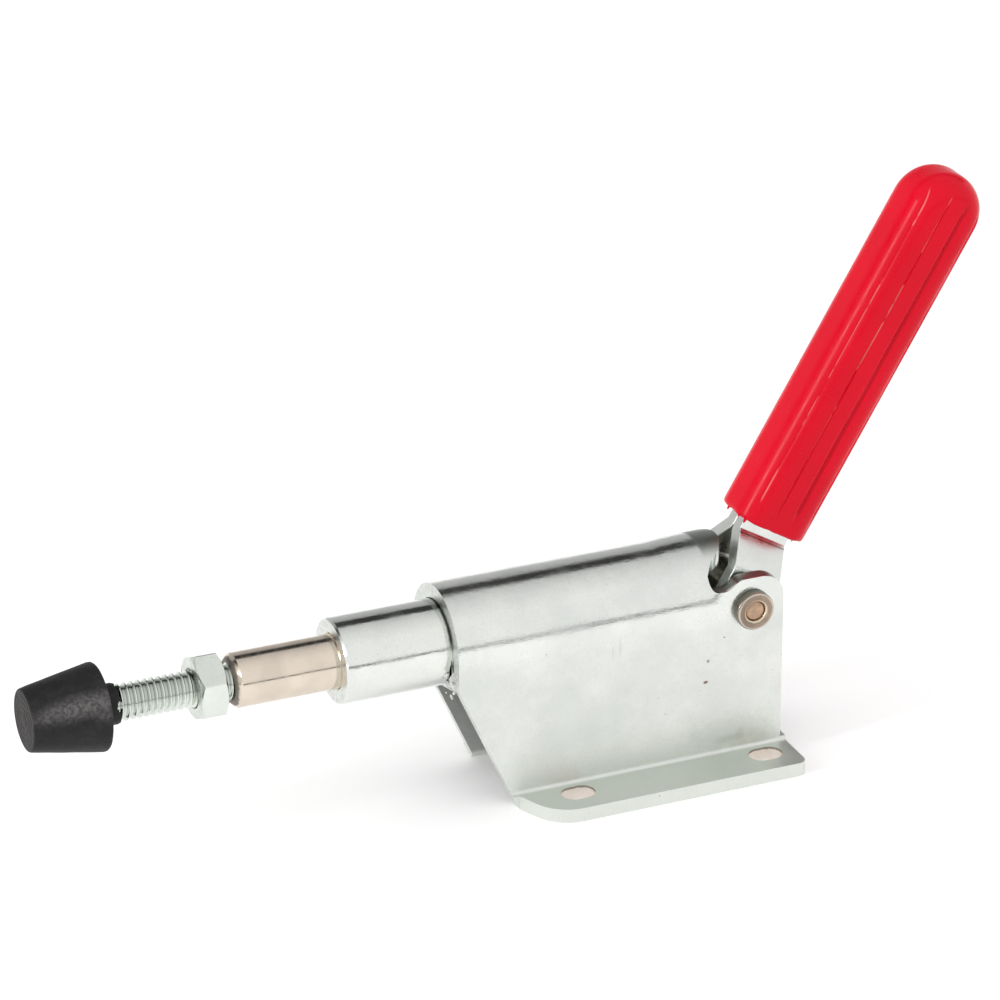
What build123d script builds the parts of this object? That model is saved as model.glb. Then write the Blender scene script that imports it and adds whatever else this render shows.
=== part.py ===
"""Straight-line (push-pull) toggle clamp on a folded sheet-steel body.

Millimetres, +Z up. The origin is the centre of the four-hole pattern on the
mounting plane, +X is the direction in which the plunger pushes, and +Y is the
left side seen from behind the handle.
"""
import os
from math import asin, cos, radians, sin, sqrt, tan

from build123d import *

os.makedirs("parts", exist_ok=True)

# ------------------------------------------------------------ folded body sheet
sheet = 3.05  # thickness of the body sheet
axis_height = 35.6  # plunger axis above the mounting plane
bend_inner = 1.0  # inner radius of the fold between wall and flange
flange_width = 46.6  # over both flanges
hole_pitch_x = 43.3
hole_pitch_y = 33.1
slot_length = 7.4  # fixing slots, long way along X
slot_width = 5.5
hole_setback = 25.0  # front slots behind the front of the wrap
body_length = 73.8  # front of the wrap to the rear edge of the walls
flange_overhang = 1.2  # flange behind the rear edge of the walls
flange_rear_round = 2.0
flange_front_slope = 0.42  # rearward run of the flange's front cut per mm of width
flange_front_round = 9.0
wall_front_drop = 6.3  # straight front edge of the walls below the axis
wall_front_run = 13.15  # rearward run of the slanting front edge, down to the base

# ------------------------------------------------------------ guide tube, plunger
tube_outer = 18.2
tube_bore = 11.6
tube_seat_clearance = 0.12  # radial, between guide tube and wrap
tube_projection = 23.2  # in front of the wrap
tube_engagement = 17.0  # welded length inside the wrap
tube_edge_chamfer = 0.4
plunger_clearance = 0.05  # radial, between plunger and guide tube
plunger_projection = 22.6  # in front of the guide tube at rest
plunger_edge_chamfer = 1.2
weld_length = 9.0
weld_setback = 0.5  # front of the weld behind the front of the wrap
weld_depth = 7.6  # bottom of the weld on the tube, below the tube axis
weld_drop = 1.6  # how much lower the weld ends on the wall
weld_throat = 3.0  # top of the weld below the tube axis

# ------------------------------------------------------------ handle pivot
pivot_setback = 66.6  # pivot axis behind the front of the wrap
pivot_pin_diameter = 6.3
pin_head_diameter = 4.7  # riveted end seen inside the collar
collar_diameter = 8.5
collar_height = 2.0
collar_edge_chamfer = 0.6
pin_recess = 0.4  # riveted end below the face of the collar
pin_chamfer = 0.4
bush_diameter = 9.4
running_clearance = 0.05  # radial, between turning parts and their pins
side_clearance = 0.15  # between faces that slide past each other

# ------------------------------------------------------------ notch and lugs
notch_front = 9.2  # front of the side notches, ahead of the pivot axis
notch_front_height = 7.6  # above the plunger axis
notch_bottom_x = 7.1
notch_bottom_height = 4.6
notch_entry_slope = 0.15  # fall at the start of the curve from the lug into the notch
lug_height = 6.8  # top of the lugs beside the handle
lug_top_front = 2.0
lug_top_rear = -2.4
lug_corner_height = 3.2
lug_corner_bulge = 1.5  # how far the rounded rear corner stands out of its chord
lug_lean = 0.55  # how far the top of a lug leans inwards
lug_blend = 3.8  # length over which the round wrap turns into the upright lug
tongue_end_x = 3.0  # rear end of the wrap's tongue, ahead of the pivot axis
tongue_shoulder_x = 7.6
tongue_shoulder_y = 7.5
tongue_flare = 2.0  # widening from the shoulder to the front of the notch
tongue_swell = 0.5  # the tongue's end is pressed up by this much
tongue_swell_half = 12.0  # half the length of the swelling
tongue_swell_x = 6.0  # its highest place, ahead of the pivot axis
crown_cut_height = 8.0  # above this height the tongue is cut from above

# ------------------------------------------------------------ handle
handle_angle = 59.3  # arms above the rearward horizontal at rest
lock_angle = 20.0  # handle angle at which the toggle is on dead centre
arm_sheet = 3.0
arm_width = 12.2
arm_outer_face = 8.3  # outer face of an arm beside the pivot, from the mid-plane
arm_length = 92.0  # pivot to the end inside the grip
joggle_start = 12.6  # crease under the grip, from the pivot
joggle_end = 5.6
joggle_round = 0.5
tail_half_width = 3.4
crank_radius = 24.0
crank_pin_diameter = 4.5
grip_mouth = 15.5
grip_end = 99.4
grip_width = 17.8
grip_thickness = 14.2
grip_edge_round = 4.4
groove_width = 0.8
groove_depth = 0.35
groove_count = 4  # on each face
groove_pitch = 4.6
groove_mouth_gap = 5.0
groove_end_gap = 6.5

# ------------------------------------------------------------ link
link_length = 32.0
link_sheet = 2.6
link_half_width = 4.0
spacer_diameter = 8.0
fork_clearance = 0.2  # each side of the link pair in the plunger's fork
fork_run = 1.0  # room ahead of the link's round end in the fork
link_pin_recess = 0.9  # ends of the link pin below the round of the plunger
fork_wall = 2.2  # plunger left behind the slotted pin hole
lost_motion_rear = 3.7  # travel of the link pin in the fork's slot, rearwards
lost_motion_front = 1.1
lost_motion_rise = 0.95

# ------------------------------------------------------------ spindle and pad
thread_diameter = 7.85
thread_engagement = 14.0  # in the plunger
jam_gap = 2.0  # bare thread between plunger and nut
nut_flats = 12.7
nut_height = 5.9
nut_turn = 25.0
nut_chamfer_angle = 30.0
nut_face_inset = 0.1  # rim of the turned end face inside the flats
thread_free = 16.05  # nut to pad collar
pad_collar_diameter = 8.6
pad_collar_length = 3.6
pad_rear_diameter = 18.7
pad_front_diameter = 13.3
pad_length = 16.0
pad_edge_chamfer = 0.7
head_flats = 10.2
head_height = 5.3
head_cover = 3.0  # rubber in front of the spindle's head

# ------------------------------------------------------------ derived places
wall_inner = tube_outer / 2 + tube_seat_clearance
wall_mid = wall_inner + sheet / 2
wall_outer = wall_inner + sheet
wrap_front = hole_pitch_x / 2 + hole_setback
wall_rear = wrap_front - body_length
flange_rear = wall_rear - flange_overhang
pivot_x = wrap_front - pivot_setback
tube_front = wrap_front + tube_projection
tube_rear = wrap_front - tube_engagement
plunger_front = tube_front + plunger_projection
plunger_radius = tube_bore / 2 - plunger_clearance
nut_rear = plunger_front + jam_gap
pad_collar_rear = nut_rear + nut_height + thread_free
pad_rear = pad_collar_rear + pad_collar_length
pad_front = pad_rear + pad_length
crank_angle = radians(handle_angle - lock_angle)
link_angle = asin(crank_radius * sin(crank_angle) / link_length)
crank_x = pivot_x + crank_radius * cos(crank_angle)
crank_z = axis_height - crank_radius * sin(crank_angle)
link_pin_x = crank_x + link_length * cos(link_angle)
arm_inner_face = arm_outer_face - arm_sheet
fork_slot_rear = link_pin_x - lost_motion_rear - crank_pin_diameter / 2
fork_slot_front = link_pin_x + lost_motion_front + crank_pin_diameter / 2
plunger_rear = fork_slot_rear - fork_wall
head_rear = pad_front - head_cover - head_height
overrun = 1.0  # how far a cut runs past what it cuts

MIDPLANE = Plane(origin=(0, 0, 0), x_dir=(1, 0, 0), z_dir=(0, -1, 0))
AXLE = Axis((0, 0, axis_height), (1, 0, 0))


def axis_plane(x):
    """Plane across the plunger axis at x: local x is Y, local y is Z."""
    return Plane(origin=(x, 0, axis_height), x_dir=(0, 1, 0), z_dir=(1, 0, 0))


def side_plane(y):
    """Plane parallel to the mid-plane at y: local x is X from the pivot, local y is Z."""
    return Plane(origin=(pivot_x, y, axis_height), x_dir=(1, 0, 0), z_dir=(0, -1, 0))


def handle_plane(y):
    """Plane of the handle at y: local x runs up the arms, local y towards the front."""
    along = (-cos(radians(handle_angle)), 0, sin(radians(handle_angle)))
    return Plane(origin=(pivot_x, y, axis_height), x_dir=along, z_dir=(0, 1, 0))


def link_plane(y):
    """Plane of the link at y: local x runs from the crank pin to the plunger pin."""
    along = (cos(link_angle), 0, sin(link_angle))
    return Plane(origin=(crank_x, y, crank_z), x_dir=along, z_dir=(0, -1, 0))


def cross_pin(x, z, radius, half_length):
    """A plain pin along Y, centred on the mid-plane, with chamfered ends."""
    with BuildPart() as pin:
        with BuildSketch(Plane(origin=(x, 0, z), x_dir=(1, 0, 0), z_dir=(0, -1, 0))):
            Circle(radius)
        extrude(amount=half_length, both=True)
        chamfer(pin.edges().filter_by(GeomType.CIRCLE), pin_chamfer)
    return pin.part


def lug_section(x, y_sign, lean):
    """Section of a lug above the plunger axis; lean is the inward shift of its top."""
    half_way = 0.5
    with BuildSketch(axis_plane(x)) as section:
        with BuildLine():
            ends = []
            for face_y in (wall_outer, wall_inner):
                ends.append(
                    ThreePointArc(
                        (y_sign * face_y, 0),
                        (y_sign * (face_y - lean * half_way**2), crown_cut_height * half_way),
                        (y_sign * (face_y - lean), crown_cut_height),
                    )
                )
            Line(ends[0] @ 0, ends[1] @ 0)
            Line(ends[0] @ 1, ends[1] @ 1)
        make_face()
    return section.sketch.face()


def save(part, name):
    part.label = name
    export_step(part, f"parts/{name}.step")


# ------------------------------------------------------------ body shell
with BuildPart() as body_shell:
    # One strip of sheet, traced along its middle: flange, wall, half-round, wall, flange.
    with BuildSketch(Plane(origin=(flange_rear, 0, 0), x_dir=(0, 1, 0), z_dir=(1, 0, 0))):
        with BuildLine():
            for side in (1, -1):
                FilletPolyline(
                    (side * flange_width / 2, sheet / 2),
                    (side * wall_mid, sheet / 2),
                    (side * wall_mid, axis_height),
                    radius=bend_inner + sheet / 2,
                )
            CenterArc((0, axis_height), wall_mid, 0, 180)
        trace(line_width=sheet)
    extrude(amount=wrap_front - flange_rear)

    # The rear end of the wrap's top is swollen a little, as a barrel round a raised axis.
    barrel_lift = 2 * tongue_swell
    barrel_radius = wall_outer + tongue_swell - barrel_lift
    barrel_edge = barrel_radius - tongue_swell
    swell_x = pivot_x + tongue_swell_x
    with BuildSketch(MIDPLANE):
        with BuildLine():
            low = axis_height + barrel_lift
            arc = ThreePointArc(
                (swell_x - tongue_swell_half, low + barrel_edge),
                (swell_x, low + barrel_radius),
                (swell_x + tongue_swell_half, low + barrel_edge),
            )
            Polyline(
                arc @ 0,
                (swell_x - tongue_swell_half, low),
                (swell_x + tongue_swell_half, low),
                arc @ 1,
            )
        make_face()
    revolve(axis=Axis((0, 0, axis_height + barrel_lift), (1, 0, 0)))
    with BuildSketch(axis_plane(flange_rear)):
        Circle(wall_inner)
        with Locations((0, -axis_height / 2)):
            Rectangle(2 * wall_inner, axis_height)
    extrude(amount=wrap_front - flange_rear, mode=Mode.SUBTRACT)

    # Beside the pivot the round sides are opened into nearly upright lugs.
    notch_x = pivot_x + notch_front
    with BuildSketch(axis_plane(flange_rear)):
        with Locations((0, crown_cut_height / 2)):
            Rectangle(2 * (wall_outer + overrun), crown_cut_height)
    extrude(amount=notch_x - flange_rear, mode=Mode.SUBTRACT)

    round_lean = wall_outer - sqrt(wall_outer**2 - crown_cut_height**2)
    for y_sign in (1, -1):
        front = lug_section(notch_x, y_sign, round_lean)
        rear = lug_section(notch_x - lug_blend, y_sign, lug_lean)
        loft([front, rear], ruled=True)
        extrude(rear, amount=notch_x - lug_blend - flange_rear, dir=(-1, 0, 0))

    # Side outline of the lugs and the bottom of the notch, cut across both walls.
    rear_x = wall_rear - pivot_x
    past_rear = flange_rear - pivot_x - overrun
    past_wall = wall_outer + overrun
    with BuildSketch(side_plane(0)):
        with BuildLine():
            corner = SagittaArc(
                (rear_x, lug_corner_height), (lug_top_rear, lug_height), -lug_corner_bulge
            )
            top = Line(corner @ 1, (lug_top_front, lug_height))
            entry, level, upright = (1, -notch_entry_slope), (1, 0), (0, 1)
            notch_bottom = (notch_bottom_x, notch_bottom_height)
            dip = Spline(top @ 1, notch_bottom, tangents=(entry, level))
            rise = Spline(dip @ 1, (notch_front, notch_front_height), tangents=(level, upright))
            Polyline(
                rise @ 1,
                (notch_front, crown_cut_height),
                (past_rear, crown_cut_height),
                (past_rear, lug_corner_height),
                corner @ 0,
            )
        make_face()
    extrude(amount=past_wall, both=True, mode=Mode.SUBTRACT)

    # The tongue left at the top of the wrap, cut from above.
    with BuildSketch(Plane((pivot_x, 0, axis_height + crown_cut_height))):
        with BuildLine():
            tongue = ThreePointArc(
                (tongue_shoulder_x, -tongue_shoulder_y),
                (tongue_end_x, 0),
                (tongue_shoulder_x, tongue_shoulder_y),
            )
            Polyline(
                tongue @ 1,
                (notch_front, tongue_shoulder_y + tongue_flare),
                (notch_front, past_wall),
                (past_rear, past_wall),
                (past_rear, -past_wall),
                (notch_front, -past_wall),
                (notch_front, -tongue_shoulder_y - tongue_flare),
                tongue @ 0,
            )
        make_face()
    extrude(amount=wall_outer, mode=Mode.SUBTRACT)

    # Front edge of the walls: short and upright, then slanting back to the base.
    front_x = wrap_front - pivot_x
    with BuildSketch(side_plane(0)):
        Polygon(
            (front_x, -wall_front_drop),
            (front_x + overrun, -wall_front_drop),
            (front_x + overrun, -axis_height),
            (front_x - wall_front_run, -axis_height),
            align=None,
        )
    extrude(amount=flange_width, both=True, mode=Mode.SUBTRACT)

    # Front cut of the flanges, in plan.
    fold_x, fold_y = wrap_front - wall_front_run, wall_outer + bend_inner
    tip_x = fold_x - flange_front_slope * (flange_width / 2 - fold_y)
    with BuildSketch(Plane.XY):
        for y_sign in (1, -1):
            Polygon(
                (fold_x, y_sign * fold_y),
                (tip_x, y_sign * flange_width / 2),
                (wrap_front, y_sign * flange_width / 2),
                (wrap_front, y_sign * fold_y),
                align=None,
            )
    extrude(amount=sheet + bend_inner, mode=Mode.SUBTRACT)

    # Rear edge of the walls, a little ahead of the flanges' rear edge.
    with BuildSketch(side_plane(0)):
        with Locations((rear_x - flange_overhang / 2, 0)):
            Rectangle(flange_overhang, 2 * (axis_height - sheet - bend_inner))
    extrude(amount=past_wall, both=True, mode=Mode.SUBTRACT)

    for end, corner_round in ((-1, flange_front_round), (0, flange_rear_round)):
        uprights = body_shell.edges().filter_by(Axis.Z)
        corners = uprights.filter_by(lambda e: abs(e.center().Y) > flange_width / 2 - sheet)
        fillet(corners.group_by(Axis.X)[end], corner_round)

    with BuildSketch(Plane.XY):
        with GridLocations(hole_pitch_x, hole_pitch_y, 2, 2):
            SlotOverall(slot_length, slot_width)
    extrude(amount=sheet, mode=Mode.SUBTRACT)
    with BuildSketch(side_plane(0)):
        Circle(pivot_pin_diameter / 2)
    extrude(amount=past_wall, both=True, mode=Mode.SUBTRACT)
save(body_shell.part, "body_shell")

# ------------------------------------------------------------ guide tube and its welds
with BuildPart() as guide_tube:
    with BuildSketch(axis_plane(tube_rear)):
        Circle(tube_outer / 2)
        Circle(tube_bore / 2, mode=Mode.SUBTRACT)
    extrude(amount=tube_front - tube_rear)
    chamfer(guide_tube.faces().sort_by(Axis.X)[-1].edges(), tube_edge_chamfer)
save(guide_tube.part, "guide_tube")

for side, name in ((1, "weld_bead_near"), (-1, "weld_bead_far")):
    with BuildPart() as weld:
        # The corner between the tube's underside and the wall, filled from below.
        with BuildSketch(axis_plane(wrap_front - weld_setback - weld_length)):
            with BuildLine():
                tube_r = tube_outer / 2
                foot_y = sqrt(tube_r**2 - weld_depth**2)
                throat_y = sqrt(tube_r**2 - weld_throat**2)
                outline = Polyline(
                    (side * foot_y, -weld_depth),
                    (side * wall_inner, -weld_depth - weld_drop),
                    (side * wall_inner, -weld_throat),
                    (side * throat_y, -weld_throat),
                )
                RadiusArc(outline @ 1, outline @ 0, tube_r * side)
            make_face()
        extrude(amount=weld_length)
    save(weld.part, name)

# ------------------------------------------------------------ pivot pin, collars and bush
with BuildPart() as pivot_pin:
    with BuildSketch(side_plane(0)):
        Circle(pivot_pin_diameter / 2)
    extrude(amount=wall_outer, both=True)
    with BuildSketch(side_plane(0)):
        Circle(pin_head_diameter / 2)
    extrude(amount=wall_outer + collar_height - pin_recess, both=True)
save(pivot_pin.part, "pivot_pin")

for side, name in ((1, "pivot_collar_near"), (-1, "pivot_collar_far")):
    with BuildPart() as collar:
        with BuildSketch(side_plane(side * wall_outer)):
            Circle(collar_diameter / 2)
            Circle(pin_head_diameter / 2, mode=Mode.SUBTRACT)
        extrude(amount=-side * collar_height)
        chamfer(collar.faces().sort_by(Axis.Y)[-1 if side > 0 else 0].edges(), collar_edge_chamfer)
    save(collar.part, name)

with BuildPart() as pivot_bush:
    with BuildSketch(side_plane(0)):
        Circle(bush_diameter / 2)
        Circle(pivot_pin_diameter / 2, mode=Mode.SUBTRACT)
    extrude(amount=arm_inner_face - side_clearance, both=True)
save(pivot_bush.part, "pivot_bush")

# ------------------------------------------------------------ handle arms
tail_direction = radians(lock_angle)
tail_end = (-crank_radius * cos(tail_direction), crank_radius * sin(tail_direction))
for side, name in ((1, "handle_arm_near"), (-1, "handle_arm_far")):
    with BuildPart() as arm:
        # The bent strip seen edge-on, then trimmed to the arm's outline.
        lengthwise = handle_plane(0)
        edge_on = Plane(lengthwise.origin, lengthwise.x_dir, lengthwise.y_dir)
        y_local = -side if edge_on.y_dir.Y < 0 else side
        with BuildSketch(edge_on):
            with BuildLine():
                FilletPolyline(
                    (arm_length, y_local * arm_sheet / 2),
                    (joggle_start, y_local * arm_sheet / 2),
                    (joggle_end, y_local * (arm_outer_face - arm_sheet / 2)),
                    (-crank_radius - arm_width, y_local * (arm_outer_face - arm_sheet / 2)),
                    radius=joggle_round + arm_sheet / 2,
                )
            trace(line_width=arm_sheet)
        extrude(amount=crank_radius, both=True)
        with BuildSketch(handle_plane(0)) as outline:
            with Locations((arm_length / 2, 0)):
                Rectangle(arm_length, arm_width)
            Circle(arm_width / 2)
            with Locations(Location((tail_end[0] / 2, tail_end[1] / 2, 0), (0, 0, 180 - lock_angle))):
                Rectangle(crank_radius, 2 * tail_half_width)
            with Locations(tail_end):
                Circle(tail_half_width)
            Circle(pivot_pin_diameter / 2 + running_clearance, mode=Mode.SUBTRACT)
            with Locations(tail_end):
                Circle(crank_pin_diameter / 2, mode=Mode.SUBTRACT)
        extrude(amount=arm_outer_face + overrun, both=True, mode=Mode.INTERSECT)
    save(arm.part, name)

# ------------------------------------------------------------ grip
with BuildPart() as handle_grip:
    with BuildSketch(handle_plane(0)):
        straight = grip_end - grip_mouth - grip_width / 2
        with Locations((grip_mouth + straight / 2, 0)):
            Rectangle(straight, grip_width)
        with Locations((grip_mouth + straight, 0)):
            Circle(grip_width / 2)
    extrude(amount=grip_thickness / 2, both=True)
    rims = handle_grip.faces().filter_by(Axis.Y).edges()
    mouth_rims = handle_grip.faces().sort_by(handle_plane(0).location.x_axis)[0].edges()
    fillet(rims - mouth_rims, grip_edge_round)
    with BuildSketch(handle_plane(0)):
        with Locations(((grip_mouth + arm_length) / 2, 0)):
            Rectangle(arm_length - grip_mouth, arm_width)
    extrude(amount=arm_sheet, both=True, mode=Mode.SUBTRACT)
    # Lengthwise grooves at one depth below the face, also where its edge is rounded.
    groove_length = grip_end - groove_end_gap - grip_mouth - groove_mouth_gap
    flat_half = grip_width / 2 - grip_edge_round
    for number in range(groove_count):
        across = (number - (groove_count - 1) / 2) * groove_pitch
        off_flat = max(abs(across) - flat_half, 0)
        fall = grip_edge_round - sqrt(grip_edge_round**2 - off_flat**2)
        for face_side in (1, -1):
            with BuildSketch(handle_plane(face_side * grip_thickness / 2)):
                with Locations((grip_mouth + groove_mouth_gap + groove_length / 2, across)):
                    SlotOverall(groove_length, groove_width)
            extrude(amount=-face_side * (fall + groove_depth), mode=Mode.SUBTRACT)
save(handle_grip.part, "handle_grip")

# ------------------------------------------------------------ crank pin, spacers, link
save(cross_pin(crank_x, crank_z, crank_pin_diameter / 2, arm_outer_face), "crank_pin")
link_pin_half = sqrt(plunger_radius**2 - (crank_pin_diameter / 2) ** 2) - link_pin_recess
save(cross_pin(link_pin_x, axis_height, crank_pin_diameter / 2, link_pin_half), "link_pin")

for side, name in ((1, "crank_spacer_near"), (-1, "crank_spacer_far")):
    with BuildPart() as spacer:
        with BuildSketch(link_plane(side * (link_sheet + side_clearance))):
            Circle(spacer_diameter / 2)
            Circle(crank_pin_diameter / 2 + running_clearance, mode=Mode.SUBTRACT)
        extrude(amount=-side * (arm_inner_face - link_sheet - 2 * side_clearance))
    save(spacer.part, name)

for side, name in ((1, "link_plate_near"), (-1, "link_plate_far")):
    with BuildPart() as plate:
        with BuildSketch(link_plane(0)):
            with Locations((link_length / 2, 0)):
                SlotCenterToCenter(link_length, 2 * link_half_width)
            Circle(crank_pin_diameter / 2 + running_clearance, mode=Mode.SUBTRACT)
            with Locations((link_length, 0)):
                Circle(crank_pin_diameter / 2, mode=Mode.SUBTRACT)
        extrude(amount=-side * link_sheet)
    save(plate.part, name)

# ------------------------------------------------------------ plunger
with BuildPart() as plunger:
    with BuildSketch(axis_plane(plunger_rear)):
        Circle(plunger_radius)
    extrude(amount=plunger_front - plunger_rear)
    chamfer(plunger.faces().sort_by(Axis.X)[-1].edges(), plunger_edge_chamfer)
    # Tapped hole for the spindle.
    with BuildSketch(axis_plane(plunger_front)):
        Circle(thread_diameter / 2)
    extrude(amount=-thread_engagement, mode=Mode.SUBTRACT)
    # Fork for the link pair, open to the rear, and the slotted hole for its pin.
    fork_depth = fork_slot_front - crank_pin_diameter / 2 + link_half_width + fork_run - plunger_rear
    with BuildSketch(axis_plane(plunger_rear)):
        Rectangle(2 * (link_sheet + fork_clearance), 2 * plunger_radius + overrun)
    extrude(amount=fork_depth, mode=Mode.SUBTRACT)
    with BuildSketch(MIDPLANE):
        with Locations(((fork_slot_rear + fork_slot_front) / 2, axis_height)):
            SlotOverall(
                fork_slot_front - fork_slot_rear, crank_pin_diameter + 2 * lost_motion_rise
            )
    extrude(amount=plunger_radius, both=True, mode=Mode.SUBTRACT)
save(plunger.part, "plunger")

# ------------------------------------------------------------ spindle, jam nut, pad
with BuildPart() as spindle:
    with BuildSketch(axis_plane(plunger_front - thread_engagement)):
        Circle(thread_diameter / 2)
    extrude(amount=head_rear - plunger_front + thread_engagement)
    with BuildSketch(axis_plane(head_rear)):
        RegularPolygon(head_flats / 2, 6, major_radius=False)
    extrude(amount=head_height)
save(spindle.part, "spindle")

with BuildPart() as jam_nut:
    with BuildSketch(axis_plane(nut_rear)):
        RegularPolygon(nut_flats / 2, 6, major_radius=False, rotation=nut_turn)
        Circle(thread_diameter / 2, mode=Mode.SUBTRACT)
    extrude(amount=nut_height)
    # Both ends are turned off to a cone at the corners.
    corner_radius = nut_flats / sqrt(3)
    face_radius = nut_flats / 2 - nut_face_inset
    corner_drop = (corner_radius - face_radius) * tan(radians(nut_chamfer_angle))
    with BuildSketch(MIDPLANE) as turned:
        with BuildLine():
            Polyline(
                (nut_rear, axis_height),
                (nut_rear, axis_height + face_radius),
                (nut_rear + corner_drop, axis_height + corner_radius),
                (nut_rear + nut_height - corner_drop, axis_height + corner_radius),
                (nut_rear + nut_height, axis_height + face_radius),
                (nut_rear + nut_height, axis_height),
                close=True,
            )
        make_face()
    revolve(axis=AXLE, mode=Mode.INTERSECT)
save(jam_nut.part, "jam_nut")

with BuildPart() as rubber_cap:
    with BuildSketch(MIDPLANE):
        with BuildLine():
            Polyline(
                (pad_collar_rear, axis_height),
                (pad_collar_rear, axis_height + pad_collar_diameter / 2),
                (pad_rear, axis_height + pad_collar_diameter / 2),
                (pad_rear, axis_height + pad_rear_diameter / 2),
                (pad_front, axis_height + pad_front_diameter / 2),
                (pad_front, axis_height),
                close=True,
            )
        make_face()
    revolve(axis=AXLE)
    rims = rubber_cap.edges().filter_by(GeomType.CIRCLE).sort_by(Axis.X)
    chamfer(rims.filter_by(lambda e: e.radius > pad_collar_diameter / 2 + pad_edge_chamfer), pad_edge_chamfer)
    with BuildSketch(axis_plane(pad_collar_rear)):
        Circle(thread_diameter / 2)
    extrude(amount=head_rear - pad_collar_rear, mode=Mode.SUBTRACT)
    with BuildSketch(axis_plane(head_rear)):
        RegularPolygon(head_flats / 2, 6, major_radius=False)
    extrude(amount=head_height, mode=Mode.SUBTRACT)
save(rubber_cap.part, "rubber_cap")
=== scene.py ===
import math
from functools import partialmethod

import bmesh
import bpy
from mathutils import Matrix, Vector, noise


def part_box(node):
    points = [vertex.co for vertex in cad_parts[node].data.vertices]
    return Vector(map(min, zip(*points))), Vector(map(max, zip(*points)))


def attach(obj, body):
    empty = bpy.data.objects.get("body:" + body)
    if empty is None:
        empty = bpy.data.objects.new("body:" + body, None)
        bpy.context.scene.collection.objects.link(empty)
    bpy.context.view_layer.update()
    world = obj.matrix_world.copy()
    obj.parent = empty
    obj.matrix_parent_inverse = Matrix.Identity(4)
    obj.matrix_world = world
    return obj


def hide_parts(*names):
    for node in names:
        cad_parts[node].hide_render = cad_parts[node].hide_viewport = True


bl_info = {
    "name": "Push-pull toggle clamp",
    "version": (1, 0, 0),
    "blender": (4, 5, 0),
    "location": "View3D > Sidebar > Toggle Clamp",
    "description": "Dresses the packed model of a straight-line toggle clamp",
    "category": "Object",
}

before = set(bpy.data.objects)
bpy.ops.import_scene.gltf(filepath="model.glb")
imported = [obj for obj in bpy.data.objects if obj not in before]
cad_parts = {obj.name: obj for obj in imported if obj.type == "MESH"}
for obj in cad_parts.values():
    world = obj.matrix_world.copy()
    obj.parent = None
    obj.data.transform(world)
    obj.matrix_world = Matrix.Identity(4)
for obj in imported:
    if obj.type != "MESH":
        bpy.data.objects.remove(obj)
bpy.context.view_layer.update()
MM = 0.001
CREASE = 12.35 * MM  # crease of the arms from the pivot, along the handle
WALL_INSET = 11.15 * MM  # near wall inside the edge of its flange
SHEET = 3.05 * MM  # thickness of the sheet
SLOT = (21.65 * MM, 16.55 * MM, 7.4 * MM, 5.5 * MM)  # centre in x and y, length, width
# Rear corner of a lug: height at the rear, distance behind the pivot and height at the
# top, hollow as built, swell as finished; then the height and the lean of a lug's top.
LUG_CORNER = (3.2 * MM, 2.4 * MM, 6.8 * MM, 1.5 * MM, 0.95 * MM)
LUG_LEAN = (8.0 * MM, 0.55 * MM)
# Marks on the near wall: x, z and radius in mm, stretch, shade, strength.
BLOTS = ((-9.5, 20.4, 0.50, (1.0, 1.0, 1.6), (0.16, 0.06, 0.02), 0.95),
         (-9.9, 25.3, 0.34, (1.0, 1.0, 1.0), (0.20, 0.20, 0.18), 0.85),
         (-13.5, 30.1, 0.28, (1.0, 1.0, 1.4), (0.34, 0.33, 0.30), 0.8),
         (-0.2, 14.8, 0.28, (1.0, 1.0, 1.0), (0.5, 0.5, 0.47), 0.6),
         (10.4, 32.4, 1.9, (7.0, 1.0, 1.0), (0.68, 0.68, 0.66), 0.6),
         (12.0, 31.6, 1.4, (9.0, 1.0, 1.0), (0.66, 0.66, 0.64), 0.6),
         (4.0, 19.0, 1.1, (6.0, 1.0, 1.0), (0.70, 0.71, 0.69), 0.6),
         (-14.5, 7.6, 5.6, (0.65, 1.0, 1.7), (0.60, 0.64, 0.58), 0.5),
         (-15.0, 6.0, 1.9, (0.7, 1.0, 2.2), (0.42, 0.45, 0.39), 0.28),
         (-17.6, 6.9, 1.2, (1.3, 1.0, 1.0), (0.42, 0.45, 0.39), 0.25))


def span(node):
    """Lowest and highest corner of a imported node, in metres."""
    low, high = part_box(node)
    return Vector(low), Vector(high)


def axis_height():
    """Height of the plunger axis above the mounting plane."""
    low, high = span("guide_tube")
    return (low.z + high.z) / 2


def pivot_centre():
    """Middle of the pivot pin."""
    return sum(span("pivot_pin"), Vector()) / 2


def linked(name, data):
    """A new object in the scene."""
    thing = bpy.data.objects.new(name, data)
    bpy.context.scene.collection.objects.link(thing)
    return thing


# ------------------------------------------------------------------ settings
def length(label, note, value, low=0.0, high=1.0):
    return bpy.props.FloatProperty(name=label, description=note, default=value, min=low,
                                   max=high, unit="LENGTH", subtype="DISTANCE")


def factor(label, note, value, high=1.0):
    return bpy.props.FloatProperty(name=label, description=note, default=value, min=0.0,
                                   max=high, subtype="FACTOR")


def angle(label, note, degrees):
    return bpy.props.FloatProperty(name=label, description=note, default=math.radians(degrees),
                                   unit="ROTATION", subtype="ANGLE")


def colour(label, note, value):
    return bpy.props.FloatVectorProperty(name=label, description=note, default=value, size=3,
                                         min=0.0, max=1.0, subtype="COLOR")


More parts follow.
